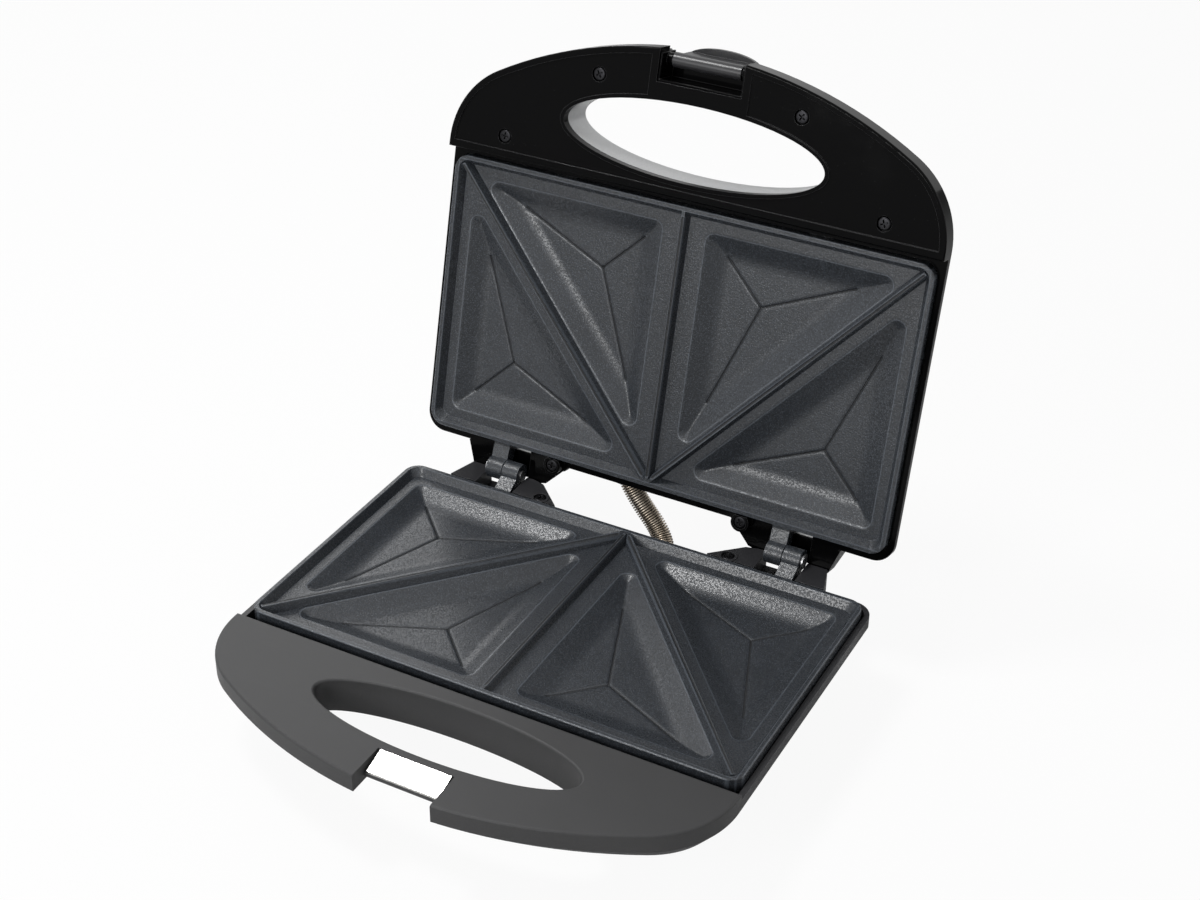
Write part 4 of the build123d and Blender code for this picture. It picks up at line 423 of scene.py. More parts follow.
@dataclass(frozen=True)
class Moulding(Finish):
    """Moulded plastic with a fine spark-eroded grain and faint handling marks."""

    roughness: float = 0.5
    grain: float = 0.35 * MM
    grain_depth: float = 0.03 * MM
    mottle: float = 0.12
    specular: float = 0.4

    def dress(self, graph: Graph) -> None:
        """Add the finish's own nodes."""
        grain = graph.noise(self.grain, 3.0)
        broad = graph.noise(28 * MM, 3.0)
        rubbed = graph.noise(2.2 * MM, 5.0, (6, 1, 1)).ramp(0.56, 0.78)
        low = toned(self.colour, 1 - self.mottle)
        high = toned(self.colour, 1 + self.mottle)
        shade = graph.mix(broad.ramp(0.3, 0.7), low, high)
        graph.set(
            Base_Color=graph.mix(grain.ramp(0.35, 0.75) * 0.35, shade, toned(self.colour, 1.6)),
            Roughness=broad * 0.08 + grain * 0.08 - rubbed * 0.05 + (self.roughness - 0.08),
        )
        graph.set(IOR=1.49, Specular_IOR_Level=self.specular)
        graph.bump(grain, self.grain_depth, 0.6)


@dataclass(frozen=True)
class GlossMoulding(Finish):
    """Polished plastic: near mirror, with a trace of orange peel, dust and hairlines, and a painted
    highlight along its edges.
    """

    roughness: float = 0.07
    specular: float = 0.06

    def dress(self, graph: Graph) -> None:
        """Add the finish's own nodes."""
        peel = graph.noise(3.5 * MM, 1.0)
        hairlines = graph.noise(0.5 * MM, 4.0, (30, 1, 1)).ramp(0.62, 0.75)
        dust = graph.cells(2.6 * MM).ramp(0.055, 0.03)
        smudge = graph.noise(16 * MM, 3.0).ramp(0.45, 0.75)
        # Painted highlight: the edges are painted grey as lines of light along the beads; the dust
        # share is real dust.
        edges = graph.edge_highlight_mask(0.3 * MM)
        graph.set(
            Base_Color=graph.mix(
                dust * 0.3 + edges * 0.7, rgba(self.colour), (0.1, 0.1, 0.104, 1)
            ),
            Roughness=smudge * 0.05 + hairlines * 0.05 + dust * 0.2 + self.roughness,
        )
        graph.set(IOR=1.5, Specular_IOR_Level=self.specular)
        graph.bump(peel, 0.01 * MM, 0.25, 0.4 * MM)


@dataclass(frozen=True)
class SilverLacquer(Finish):
    """Silver lacquer with fine metal flakes on a smooth moulding."""

    def dress(self, graph: Graph) -> None:
        """Add the finish's own nodes."""
        flake = graph.cells(0.28 * MM).ramp(0.2, 0.7)
        broad = graph.noise(40 * MM, 2.0)
        graph.set(
            Base_Color=graph.mix(flake, toned(self.colour, 1.12), toned(self.colour, 0.88)),
            Metallic=0.55,
            Roughness=flake * 0.1 + broad * 0.06 + 0.34,
            Coat_Weight=0.12,
        )
        graph.set(Coat_Roughness=0.16)
        graph.bump(graph.noise(0.3 * MM, 2.0), 0.008 * MM, 0.3)


@dataclass(frozen=True)
class Metal(Finish):
    """Bare or tinted metal with a drawn or rolled grain, and a stain where heat has reached it."""

    roughness: float = 0.28
    stretch: Point = (30, 1, 1)
    tint: Point = (0.4, 0.33, 0.25)
    tint_share: float = 0.0

    def dress(self, graph: Graph) -> None:
        """Add the finish's own nodes."""
        grain = graph.noise(0.22 * MM, 3.0, self.stretch)
        broad = graph.noise(12 * MM, 3.0)
        spots = graph.noise(1.8 * MM, 4.0).ramp(0.6, 0.8)
        stained = graph.mix(
            broad.ramp(0.35, 0.7) * self.tint_share, rgba(self.colour), rgba(self.tint)
        )
        graph.set(
            Base_Color=graph.mix(grain * 0.3 + spots * 0.2, stained, toned(self.colour, 0.72)),
            Metallic=1.0,
            Roughness=grain * 0.14 + broad * 0.1 + (self.roughness - 0.1),
        )
        graph.bump(grain, 0.012 * MM, 0.4)


@dataclass(frozen=True)
class Rubber(Finish):
    """Matt rubber with a dusty bloom and a fine pebble."""

    def dress(self, graph: Graph) -> None:
        """Add the finish's own nodes."""
        bloom = graph.noise(5 * MM, 4.0).ramp(0.4, 0.75)
        pebble = graph.noise(0.4 * MM, 2.0)
        graph.set(
            Base_Color=graph.mix(bloom * 0.6, rgba(self.colour), toned(self.colour, 2.2)),
            Roughness=bloom * 0.1 + pebble * 0.08 + 0.72,
        )
        graph.bump(pebble, 0.04 * MM, 0.6)


@dataclass(frozen=True)
class Ceramic(Finish):
    """Off-white fired ceramic with pores."""

    def dress(self, graph: Graph) -> None:
        """Add the finish's own nodes."""
        pores = graph.cells(0.9 * MM).ramp(0.16, 0.05)
        cloud = graph.noise(6 * MM, 3.0)
        graph.set(
            Base_Color=graph.mix(
                pores * 0.5 + cloud * 0.2, rgba(self.colour), toned(self.colour, 0.6)
            ),
            Roughness=cloud * 0.2 + 0.45,
        )
        graph.bump(1 - pores, 0.05 * MM, 0.5)


@dataclass(frozen=True)
class ClearMoulding(Finish):
    """Clear tinted plastic or glass that lets some light through."""

    transmission: float = 0.55
    roughness: float = 0.12

    def dress(self, graph: Graph) -> None:
        """Add the finish's own nodes."""
        ripple = graph.noise(1.4 * MM, 2.0)
        prism = graph.noise(0.5 * MM, 1.0, (1, 8, 1))
        graph.set(
            Base_Color=graph.mix(
                ripple.ramp(0.3, 0.7), toned(self.colour, 0.85), toned(self.colour, 1.2)
            ),
            Roughness=ripple * 0.08 + self.roughness,
        )
        graph.set(Transmission_Weight=self.transmission, IOR=1.49)
        graph.bump(prism, 0.03 * MM, 0.4)


@dataclass(frozen=True)
class NonStick(Finish):
    """Dark non-stick coating on a casting: speckled, with fine score lines, a painted highlight
    along its edges and painted shade in its grooves.
    """

    half: Half
    lines: "PlateLines"
    roughness: float = 0.33
    score_half: float = 0.42 * MM
    fold_half: float = 0.5 * MM
    rim_edge: float = 0.35 * MM
    rib_half: float = 0.85 * MM
    highlight_half: float = 0.26 * MM

    def dress(self, graph: Graph) -> None:
        """Add the finish's own nodes."""
        x, y = graph.plan(self.half)
        fold = nearest_line(x, y, self.lines.ribs())
        scores = self.on_line(nearest_line(x, y, self.lines.scores()), self.score_half)
        cut = scores.most(self.on_line(fold, self.fold_half))
        fleck = graph.cells(0.7 * MM).ramp(0.42, 0.16)
        pits = graph.noise(0.75 * MM, 3.0).ramp(0.45, 0.62)
        cloud = graph.noise(35 * MM, 4.0)
        ground = graph.mix(cloud.ramp(0.3, 0.7), toned(self.colour, 0.9), toned(self.colour, 1.12))
        pitted = graph.mix(pits * 0.65, ground, toned(self.colour, 0.2))
        flecked = graph.mix(fleck * 0.55, pitted, toned(self.colour, 4.0))
        # Painted highlight: the edges of the rim, the ribs and the wells, and every rounded edge,
        # are painted lighter.
        lit = self.painted_edge_highlights(x, y, fold) * pits.ramp(1.0, 0.0, 0.5, 1.0)
        highlighted = graph.mix(lit.most(graph.edge_highlight_mask(0.35 * MM)) * 0.55, flecked, toned(self.colour, 4.5))
        # Painted shade: the score lines and the ribs' middle grooves are painted near black.
        graph.set(
            Base_Color=graph.mix(cut * 0.85, highlighted, toned(self.colour, 0.12)),
            Roughness=pits * 0.2 - fleck * 0.1 + cloud * 0.06 + cut * 0.3 + (self.roughness - 0.1),
        )
        graph.set(IOR=1.5, Specular_IOR_Level=0.42)
        graph.bump((1 - cut) - pits * 0.07 + fleck * 0.05, 0.42 * MM, 0.8, 0.3 * MM)

    def painted_edge_highlights(self, x: Value, y: Value, fold: Value) -> Value:
        """A mask of the edges of the rim, the ribs and the wells, which are painted lighter as a
        highlight.
        """
        half_length = self.lines.length / 2
        rim = (x - self.lines.width / 2).most(y - half_length).most(-half_length - y)
        gaps = [rim + self.rim_edge, rim + self.lines.rim_top, fold - self.rib_half]
        gaps += [self.lines.inside(x, y, corners) for corners in self.lines.wells()]
        nearest = least_of(abs(gap) for gap in gaps)
        return nearest.ramp(self.highlight_half * 1.3, self.highlight_half * 0.5)

    @staticmethod
    def on_line(gap: Value, half: float) -> Value:
        """A mask that is 1 on a line and 0 beside it, by the distance from the line."""
        return gap.ramp(half * 1.25, half * 0.4)


# ---------------------------------------------------------------- meshes
def linked(name: str, data: bpy.types.ID) -> bpy.types.Object:
    """Put an object with this data into the scene."""
    made = bpy.data.objects.new(name, data)
    bpy.context.scene.collection.objects.link(made)
    return made


def new_piece(name: str, mesh: bpy.types.Mesh, material: bpy.types.Material) -> bpy.types.Object:
    """Put a mesh into the scene as a piece with one material."""
    piece = linked(name, mesh)
    piece.data.materials.clear()
    piece.data.materials.append(material)
    return piece


def turns(count: int) -> list[float]:
    """Angles that divide a full turn evenly."""
    return [2 * math.pi * index / count for index in range(count)]


def skin(made: bmesh.types.BMesh, low: Sequence, high: Sequence) -> None:
    """Join two rings of vertices with faces, where either ring may be a single point."""
    count = max(len(low), len(high))
    for index in range(count):
        pair = (index, (index + 1) % count)
        corners = [low[i % len(low)] for i in pair] + [high[i % len(high)] for i in pair[::-1]]
        distinct = list(dict.fromkeys(corners))
        if len(distinct) > 2:
            made.faces.new(distinct)


def revolved(profile: Sequence[tuple[float, float]], segments: int) -> bmesh.types.BMesh:
    """Turn a profile of (radius, height) points round the z axis, closed at both ends."""
    made = bmesh.new()
    rings = []
    for radius, height in profile:
        angles = turns(segments) if radius >= TOUCHING else [0.0]
        places = [(radius * math.cos(t), radius * math.sin(t), height) for t in angles]
        rings.append([made.verts.new(place) for place in places])
    for low, high in zip(rings, rings[1:]):
        skin(made, low, high)
    bmesh.ops.recalc_face_normals(made, faces=made.faces)
    return made


def carried(line: Sequence[Vector], normal: Vector) -> Iterator[tuple[Vector, Vector, Vector]]:
    """Each place of a line with two directions across it, carried along without twisting."""
    for index, point in enumerate(line):
        ahead = line[min(index + 1, len(line) - 1)] - line[max(index - 1, 0)]
        way = ahead.normalized()
        normal = (normal - way * normal.dot(way)).normalized()
        yield point, normal, way.cross(normal)


def tube(points: Sequence[Vector], radius: float, sides: int) -> bmesh.types.BMesh:
    """A closed tube round a line of points."""
    made = bmesh.new()
    rings = []
    start = (points[1] - points[0]).normalized().orthogonal().normalized()
    for point, normal, other in carried(points, start):
        out = [normal * math.cos(turn) + other * math.sin(turn) for turn in turns(sides)]
        rings.append([made.verts.new(point + way * radius) for way in out])
    for low, high in zip(rings, rings[1:]):
        skin(made, low, high)
    made.faces.new(list(reversed(rings[0])))
    made.faces.new(rings[-1])
    bmesh.ops.recalc_face_normals(made, faces=made.faces)
    return made


def to_mesh(made: bmesh.types.BMesh, name: str, angle: float = math.radians(35)) -> bpy.types.Mesh:
    """Finish a bmesh as a mesh, shaded smooth but for edges sharper than an angle."""
    mesh = bpy.data.meshes.new(name)
    made.to_mesh(mesh)
    made.free()
    mesh.polygons.foreach_set("use_smooth", [True] * len(mesh.polygons))
    mesh.set_sharp_from_angle(angle=angle)
    mesh.update()
    return mesh


# ---------------------------------------------------------------- cast plates
@dataclass
class PlateLines:
    """Where a plate's ribs, wells and score lines run, for its right half as drawn."""

    width: float = 226.0 * MM
    length: float = 128.0 * MM
    rim_top: float = 2.0 * MM
    side_margin: float = 8.8 * MM
    front_margin: float = 9.5 * MM
    centre_margin: float = 10.2 * MM
    outer_gap: float = 9.2 * MM
    inner_gap: float = 3.6 * MM
    score_reach: float = 0.65
    rib_inset: float = 5.0 * MM
    corner: float = 4.2 * MM

    def slope(self) -> float:
        """How far the diagonal rib runs to the side for each unit to the front."""
        return (self.width / 2 - self.rim_top) / (self.length - 2 * self.rim_top)

    def rib_x(self, y: float) -> float:
        """Distance of the diagonal rib from the middle."""
        return (self.length / 2 - self.rim_top - y) * self.slope()

    def wells(self) -> list[list[Spot]]:
        """Corners of the outer and the inner well."""
        rear = self.length / 2 - self.side_margin
        side = self.width / 2 - self.side_margin
        near = self.rib_x(rear) + self.outer_gap
        outer = [(side, rear), (near, rear), (side, rear - (side - near) / self.slope())]
        front = -self.length / 2 + self.front_margin
        far = self.rib_x(front) - self.inner_gap
        rise = (far - self.centre_margin) / self.slope()
        centre = self.centre_margin
        return [outer, [(centre, front), (far, front), (centre, front + rise)]]

    def incentre(self, corners: Sequence[Spot]) -> Spot:
        """Middle of the circle that touches a well's three sides."""
        sides = [math.dist(corners[i - 2], corners[i - 1]) for i in range(3)]
        total = sum(sides)
        return tuple(
            sum(corner[axis] * side for corner, side in zip(corners, sides)) / total
            for axis in (0, 1)
        )

    def inside(self, x: Field, y: Field, corners: Sequence[Spot]) -> Field:
        """How far a place is inside a well's outline, whose corners are round.

        Args:
            x: Drawn x without its sign.
            y: Drawn y.
            corners: The well's three corners.

        Returns:
            The distance, less than 0 outside.
        """
        middle = self.incentre(corners)
        sides = closed(corners)
        shrink = 1 - self.corner / self.side_gap(*middle, *sides[0], middle)
        inner = [tuple(m + (c - m) * shrink for c, m in zip(corner, middle)) for corner in corners]
        gap = least_of(self.side_gap(x, y, *side, middle) for side in sides)
        edge = nearest_line(x, y, closed(inner))
        return edge * sign(gap - self.corner) + self.corner

    @staticmethod
    def side_gap(
        x: Union[Field, Number], y: Union[Field, Number], start: Spot, end: Spot, middle: Spot
    ) -> Union[Field, Number]:
        """Distance from a side's line to a place, more than 0 on the middle's side."""
        run = (end[0] - start[0], end[1] - start[1])
        length = math.hypot(*run)
        normal = (-run[1] / length, run[0] / length)
        if (middle[0] - start[0]) * normal[0] + (middle[1] - start[1]) * normal[1] < 0:
            normal = (-normal[0], -normal[1])
        return (x - start[0]) * normal[0] + (y - start[1]) * normal[1]

    def scores(self) -> list[Line]:
        """The fine lines from each well's middle towards its corners."""
        lines = []
        for corners in self.wells():
            middle = self.incentre(corners)
            for corner in corners:
                end = tuple(middle[i] + (corner[i] - middle[i]) * self.score_reach for i in (0, 1))
                lines.append((middle, end))
        return lines

    def ribs(self) -> list[Line]:
        """The middle lines of the straight rib and of the diagonal one."""
        rear, front = self.length / 2 - self.rib_inset, -self.length / 2 + self.rib_inset
        return [((0.0, front), (0.0, rear)), ((self.rib_x(rear), rear), (self.rib_x(front), front))]


@dataclass
class CastPlate:
    """A cast plate: the casting's rim, ribs, lugs and arms, with a softly pressed cooking face."""

    half: Half
    name: str
    lines: PlateLines = field(default_factory=PlateLines)
    land: float = 3.8 * MM
    well_depth: float = 4.7 * MM
    wall_run: float = 9.0 * MM
    edge_round: float = 0.35 * MM
    floor_round: float = 1.6 * MM
    score_half: float = 0.75 * MM
    score_depth: float = 0.5 * MM
    step: float = 0.6 * MM
    rim_run: float = 4.2 * MM
    inset: float = 3.5 * MM
    flank_corner: float = 3.4 * MM
    colour: Point = (0.031, 0.035, 0.041)
    crease: float = math.radians(30)
    level_slack: float = 0.03 * MM
    corner_slack: float = 0.02 * MM
    under_floor: float = 0.2 * MM
    least_facing: float = -0.02

    def depth(self, x: np.ndarray, y: np.ndarray) -> np.ndarray:
        """Depth of the cooking face behind the rim, at places of the plan."""
        side = np.abs(x)
        deep = np.zeros_like(x)
        for corners in self.lines.wells():
            slope = self.well_depth / self.wall_run * self.lines.inside(side, y, corners)
            held = rounded_least(slope, np.full_like(slope, self.well_depth), self.floor_round)
            deep = np.maximum(deep, -rounded_least(-held, np.zeros_like(held), self.edge_round))
        for start, end in self.lines.scores():
            gap = segment_distance(side, y, start, end)
            deep = deep + self.score_depth * np.clip(1 - gap / self.score_half, 0, 1)
        return self.land + deep

    def add_face(self, made: bmesh.types.BMesh) -> None:
        """Add the cooking face inside the rim: the land, the wells and their score lines."""
        half_x = self.lines.width / 2 - self.inset
        half_y = self.lines.length / 2 - self.inset
        columns = 2 * math.ceil(half_x / self.step) + 1
        rows = 2 * math.ceil(half_y / self.step) + 1
        across, along = np.linspace(-half_x, half_x, columns), np.linspace(-half_y, half_y, rows)
        x, y = np.meshgrid(across, along)
        depth = self.depth(x, y)
        off_x = np.clip(np.abs(x) - (half_x - self.flank_corner), 0, None)
        off_y = np.clip(np.abs(y) - (half_y - self.flank_corner), 0, None)
        kept = np.hypot(off_x, off_y) < self.flank_corner + self.corner_slack
        verts = {
            index: made.verts.new(self.half.place(x[index], y[index], depth[index]))
            for index in np.ndindex(x.shape)
            if kept[index]
        }
        for row, column in np.ndindex(rows - 1, columns - 1):
            corners = [(row, column), (row, column + 1), (row + 1, column + 1), (row + 1, column)]
            if all(corner in verts for corner in corners):
                made.faces.new([verts[corner] for corner in corners])
        bmesh.ops.delete(
            made, geom=[vert for vert in verts.values() if not vert.link_faces], context="VERTS"
        )

    def casting(self) -> bmesh.types.BMesh:
        """The rest of the casting: all but the land, the wells and their score lines."""
        source = frame["nodes"][f"{self.name}_plate"].data
        made = bmesh.new()
        made.from_mesh(source)
        drawn = self.half.drawn(np.array([vert.co for vert in made.verts], float))
        limit_x = self.lines.width / 2 - self.rim_run
        limit_y = self.lines.length / 2 - self.rim_run
        deepest = self.land + self.well_depth + self.score_depth + self.under_floor
        origin = self.half.place(0, 0, 0)
        out = (self.half.place(0, 0, -1) - origin).normalized()
        gone = []
        for face in made.faces:
            part = drawn[[vert.index for vert in face.verts]]
            inside = (np.abs(part[:, 0]) < limit_x).all() and (np.abs(part[:, 1]) < limit_y).all()
            shallow = part[:, 2].min() <= self.land - self.level_slack
            level = not shallow and part[:, 2].max() < deepest
            if inside and level and face.normal.dot(out) > self.least_facing:
                gone.append(face)
        bmesh.ops.delete(made, geom=gone, context="FACES")
        return made

    def build(self) -> bpy.types.Object:
        """Build the whole plate as one piece that stands for the casting.

        Returns:
            The plate, riding on its half.
        """
        made = self.casting()
        self.add_face(made)
        bmesh.ops.recalc_face_normals(made, faces=made.faces)
        name = f"{self.name}_casting"
        coating = NonStick(f"non_stick_{self.name}", self.colour, self.half, self.lines)
        piece = new_piece(name, to_mesh(made, name, self.crease), coating.make())
        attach(piece, self.half.value)
        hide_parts(f"{self.name}_plate")
        return piece


# ---------------------------------------------------------------- screws
class ScrewSet(Enum):
    """The cross-head screws that show, by node: half, plan places, seat and tip depths."""

    LID_FRAME = ("lid_frame_screws", Half.LID, ((88.6, -76.5), (46.6, -111.7)), 0.1, 9.5)
    BASE_HINGE = ("base_hinge_screws", Half.BASE, ((47.0, 67.4),), 2.0, 15.5)
    LID_HINGE = ("lid_hinge_screws", Half.LID, ((47.0, 67.4),), 1.3, 16.0)
    UNDERSIDE = ("handle_screws", Half.BASE, ((88.6, -76.5), (46.6, -111.7)), 10.4, 4.5)


@dataclass
class CrossScrews:
    """Pan-head screws with a cross recess, for one set."""

    group: ScrewSet
    material: bpy.types.Material
    slot: str
    head: float = 2.85 * MM
    head_height: float = 1.75 * MM
    blend: float = 0.75 * MM
    shank: float = 1.45 * MM
    recess: float = 1.15 * MM
    arm: float = 0.62 * MM
    reach: float = 1.75 * MM
    over: float = 0.4 * MM
    top_share: float = 1.1
    low_share: float = 0.55
    tip_share: float = 0.4
    under_head: float = 0.02 * MM
    blend_steps: int = 5
    segments: int = 40
    first_turn: float = 0.4
    next_turn: float = 1.1

    def head_profile(self, length: float) -> list[tuple[float, float]]:
        """Half section from the tip to the top of the head."""
        tip = [(0.0, -length), (self.shank * self.tip_share, -length)]
        profile = tip + [(self.shank, -length + self.shank)]
        profile += [(self.shank, -self.under_head), (self.head, 0.0)]
        for index in range(self.blend_steps + 1):
            turn = math.pi / 2 * index / self.blend_steps
            radius = self.head - self.blend * (1 - math.cos(turn))
            profile.append((radius, self.head_height - self.blend * (1 - math.sin(turn))))
        return profile + [(0.0, self.head_height)]

    def cutter(self) -> bpy.types.Object:
        """The tapered cross that is cut from the head."""
        made = bmesh.new()
        top, low = self.head_height + self.over, self.head_height - self.recess
        half, tip = self.arm / 2, self.reach
        sides = ((0, 1, 2, 3), (7, 6, 5, 4), (0, 4, 5, 1), (1, 5, 6, 2), (2, 6, 7, 3), (3, 7, 4, 0))
        for turned in (False, True):
            points = []
            for height, share in ((top, self.top_share), (low, self.low_share)):
                for a, b in ((-tip, -half), (tip, -half), (tip, half), (-tip, half)):
                    a *= share
                    points.append((b, a, height) if turned else (a, b, height))
            verts = [made.verts.new(point) for point in points]
            for side in sides:
                made.faces.new([verts[index] for index in side])
        bmesh.ops.recalc_face_normals(made, faces=made.faces)
        mesh = bpy.data.meshes.new("cross_cutter")
        made.to_mesh(mesh)
        made.free()
        return linked("cross_cutter", mesh)

    def one(self, length: float) -> bpy.types.Mesh:
        """A single screw along z, its head's seat at zero."""
        solid = revolved(self.head_profile(length), self.segments)
        body = linked("screw", to_mesh(solid, "screw"))
        cutter = self.cutter()
        cut = body.modifiers.new("recess", "BOOLEAN")
        cut.operation = "DIFFERENCE"
        cut.object = cutter
        cut.solver = "EXACT"
        cut.use_self = True
        graph = bpy.context.evaluated_depsgraph_get()
        mesh = bpy.data.meshes.new_from_object(body.evaluated_get(graph))
        bpy.data.objects.remove(body)
        bpy.data.objects.remove(cutter)
        return mesh

    def build(self) -> bpy.types.Object:
        """Build the set as one piece in place of its node.

        Returns:
            The screws, riding on their half.
        """
        node, half, places, seat, tip = self.group.value
        single = self.one(abs(tip - seat) * MM)
        flip = Matrix.Rotation(math.pi, 4, "X") if tip < seat else Matrix.Identity(4)
        made = bmesh.new()
        for number, (x, y) in enumerate([(s * x, y) for x, y in places for s in (1, -1)]):
            turn = Matrix.Rotation(self.first_turn + self.next_turn * number, 4, "Z")
            copy = single.copy()
            copy.transform(half.matrix(x * MM, y * MM, seat * MM) @ flip @ turn)
            made.from_mesh(copy)
            bpy.data.meshes.remove(copy)
        piece = new_piece(f"{node}_cross_head", to_mesh(made, node), self.material)
        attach(piece, half.value)
        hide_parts(node)
        return piece


# ---------------------------------------------------------------- latch notch
@dataclass
class NotchLiner:
    """The gloss black lining of the lid's notch: wall, floor, cheeks and the latch pin's ears."""

    finish: bpy.types.Material
    half_width: float = 19.5 * MM
    thick: float = 1.0 * MM
    rear: float = -114.0 * MM
    floor_front: float = -120.3 * MM
    cheek_front: float = -126.0 * MM
    face: float = -1.6 * MM
    floor: float = 11.5 * MM
    pin_y: float = -123.0 * MM
    pin_depth: float = 5.5 * MM
    ear_radius: float = 2.7 * MM
    ear_inner: float = 16.0 * MM
    edge: float = 0.3 * MM
    edge_steps: int = 2
    ear_sides: int = 28

    def box(self, made: bmesh.types.BMesh, x: Spot, y: Spot, depth: Spot) -> None:
        """Add a closed box between drawn limits."""
        verts = [made.verts.new(Half.LID.place(a, b, c)) for c in depth for b in y for a in x]
        sides = ((0, 1, 3, 2), (4, 6, 7, 5), (0, 4, 5, 1), (1, 5, 7, 3), (3, 7, 6, 2), (2, 6, 4, 0))
        for side in sides:
            made.faces.new([verts[index] for index in side])

    def build(self) -> bpy.types.Object:
        """Build the lining.

        Returns:
            The lining, riding on the lid.
        """
        made = bmesh.new()
        half, thick = self.half_width, self.thick
        depths = (self.face, self.floor)
        self.box(made, (-half, half), (self.rear - thick, self.rear), depths)
        floor = (self.floor - thick, self.floor)
        self.box(made, (-half, half), (self.floor_front, self.rear), floor)
        for side in (-1, 1):
            cheek = sorted((side * half, side * (half - thick)))
            self.box(made, cheek, (self.cheek_front, self.rear), depths)
            self.ear(made, side)
        bmesh.ops.recalc_face_normals(made, faces=made.faces)
        piece = new_piece("latch_notch_liner", to_mesh(made, "latch_notch_liner"), self.finish)
        rounds = piece.modifiers.new("edges", "BEVEL")
        rounds.width = self.edge
        rounds.segments = self.edge_steps
        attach(piece, "lid")
        return piece

    def ear(self, made: bmesh.types.BMesh, side: int) -> None:
        """Add the round ear that holds one end of the latch pin."""
        rings = []
        for x in (self.ear_inner, self.half_width - self.thick / 2):
            ring = []
            for turn in turns(self.ear_sides):
                y = self.pin_y + self.ear_radius * math.cos(turn)
                depth = self.pin_depth + self.ear_radius * math.sin(turn)
                ring.append(made.verts.new(Half.LID.place(side * x, y, depth)))
            rings.append(ring)
        skin(made, *rings)
        made.faces.new(rings[0])
        made.faces.new(list(reversed(rings[1])))


# ---------------------------------------------------------------- conduit
@dataclass
class Conduit:
    """The close-wound spring that guards the leads between the halves, and the sleeve in it."""

    spring_finish: bpy.types.Material
    sleeve_finish: bpy.types.Material
    seat_y: float = 66.8 * MM
    base_x: float = 12.6 * MM
    base_depth: float = 23.0 * MM
    base_run: float = 20.0 * MM
    lid_x: float = -15.0 * MM
    lid_depth: float = 14.4 * MM
    lid_run: float = 4.0 * MM
    outer: float = 4.65 * MM
    wire: float = 0.44 * MM
    pitch: float = 1.16 * MM
    sleeve: float = 3.5 * MM
    sleeve_step: float = 1.5 * MM
    curve_steps: int = 32
    steps_a_turn: int = 18
    wire_sides: int = 8
    sleeve_sides: int = 20

    def corners(self) -> list[Vector]:
        """Seats and corners of the conduit's middle line, from base to lid."""
        return [
            Half.BASE.place(self.base_x, self.seat_y, self.base_depth),
            Half.BASE.place(self.base_x, self.seat_y + self.base_run, self.base_depth),
            Half.LID.place(self.lid_x, self.seat_y + self.lid_run, self.lid_depth),
            Half.LID.place(self.lid_x, self.seat_y, self.lid_depth),
        ]

    def middle_line(self, step: float) -> list[Vector]:
        """Evenly spaced places on the smooth line that the corners pull."""
        first, near, far, last = self.corners()
        line, middle = [first], (near + far) / 2
        for before, at, after in ((first, near, middle), (middle, far, last)):
            for index in range(1, self.curve_steps + 1):
                share = index / self.curve_steps
                line.append(before.lerp(at, share).lerp(at.lerp(after, share), share))
        return self.evened(line, step)

    def evened(self, line: Sequence[Vector], step: float) -> list[Vector]:
        """The same line with places an even step apart."""
        lengths = [0.0]
        for first, second in zip(line, line[1:]):
            lengths.append(lengths[-1] + (second - first).length)
        count = round(lengths[-1] / step)
        wanted = np.linspace(0, lengths[-1], count + 1)
        axes = [np.interp(wanted, lengths, [point[axis] for point in line]) for axis in range(3)]
        return [Vector(point) for point in zip(*axes)]

    def wire_line(self) -> list[Vector]:
        """Middle of the wire, wound round the middle line."""
        line = self.middle_line(self.pitch / self.steps_a_turn)
        radius = self.outer - self.wire
        wound = []
        for index, (point, normal, other) in enumerate(carried(line, Vector((1, 0, 0)))):
            turn = 2 * math.pi * index / self.steps_a_turn
            out = normal * math.cos(turn) + other * math.sin(turn)
            wound.append(point + out * radius)
        return wound

    def build(self) -> bpy.types.Object:
        """Build the spring and the sleeve, each bending between base and lid.

        Returns:
            The spring.
        """
        corners = self.corners()
        coil = tube(self.wire_line(), self.wire, self.wire_sides)
        name = "conduit_close_coil"
        spring = new_piece(name, to_mesh(coil, name, math.pi), self.spring_finish)
        leads = tube(self.middle_line(self.sleeve_step), self.sleeve, self.sleeve_sides)
        sleeve = new_piece("lead_sleeve", to_mesh(leads, "lead_sleeve"), self.sleeve_finish)
        for piece in (spring, sleeve):
            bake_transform(piece)
        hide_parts("conduit_spring")
        return spring


# ---------------------------------------------------------------- carried-over pieces
@dataclass
class Dresser:
    """Gives the nodes that keep their own shape their finishes, by the record's slots."""

    finishes: dict[str, bpy.types.Material]

    def dress(self, nodes: Iterable[str]) -> None:
        """Put each node's finish on it."""
        for name in nodes:
            node = frame["nodes"][name]
            node.data.materials.clear()
            node.data.materials.append(self.finishes[self.slot_of(name)])

    def slot_of(self, name: str) -> str:
        """The record's slot of a node."""
        for part in frame["record"]["subparts"]:
            if part["node"] == name:
                return part["material_slot"]
        raise KeyError(name)


# ---------------------------------------------------------------- studio
@dataclass(frozen=True)
class Lamp:
    """A soft rectangular lamp."""

    name: str
    place: Point
    size: tuple[float, float]
    power: float

    def build(self, aim: Point) -> None:
        """Hang the lamp, turned towards a place."""
        data = bpy.data.lights.new(self.name, "AREA")
        data.shape = "RECTANGLE"
        data.size, data.size_y = self.size
        data.energy = self.power
        lamp = linked(self.name, data)
        lamp.location = self.place
        lamp.rotation_mode = "QUATERNION"
        away = Vector(aim) - Vector(self.place)
        lamp.rotation_quaternion = away.to_track_quat("-Z", "Y")


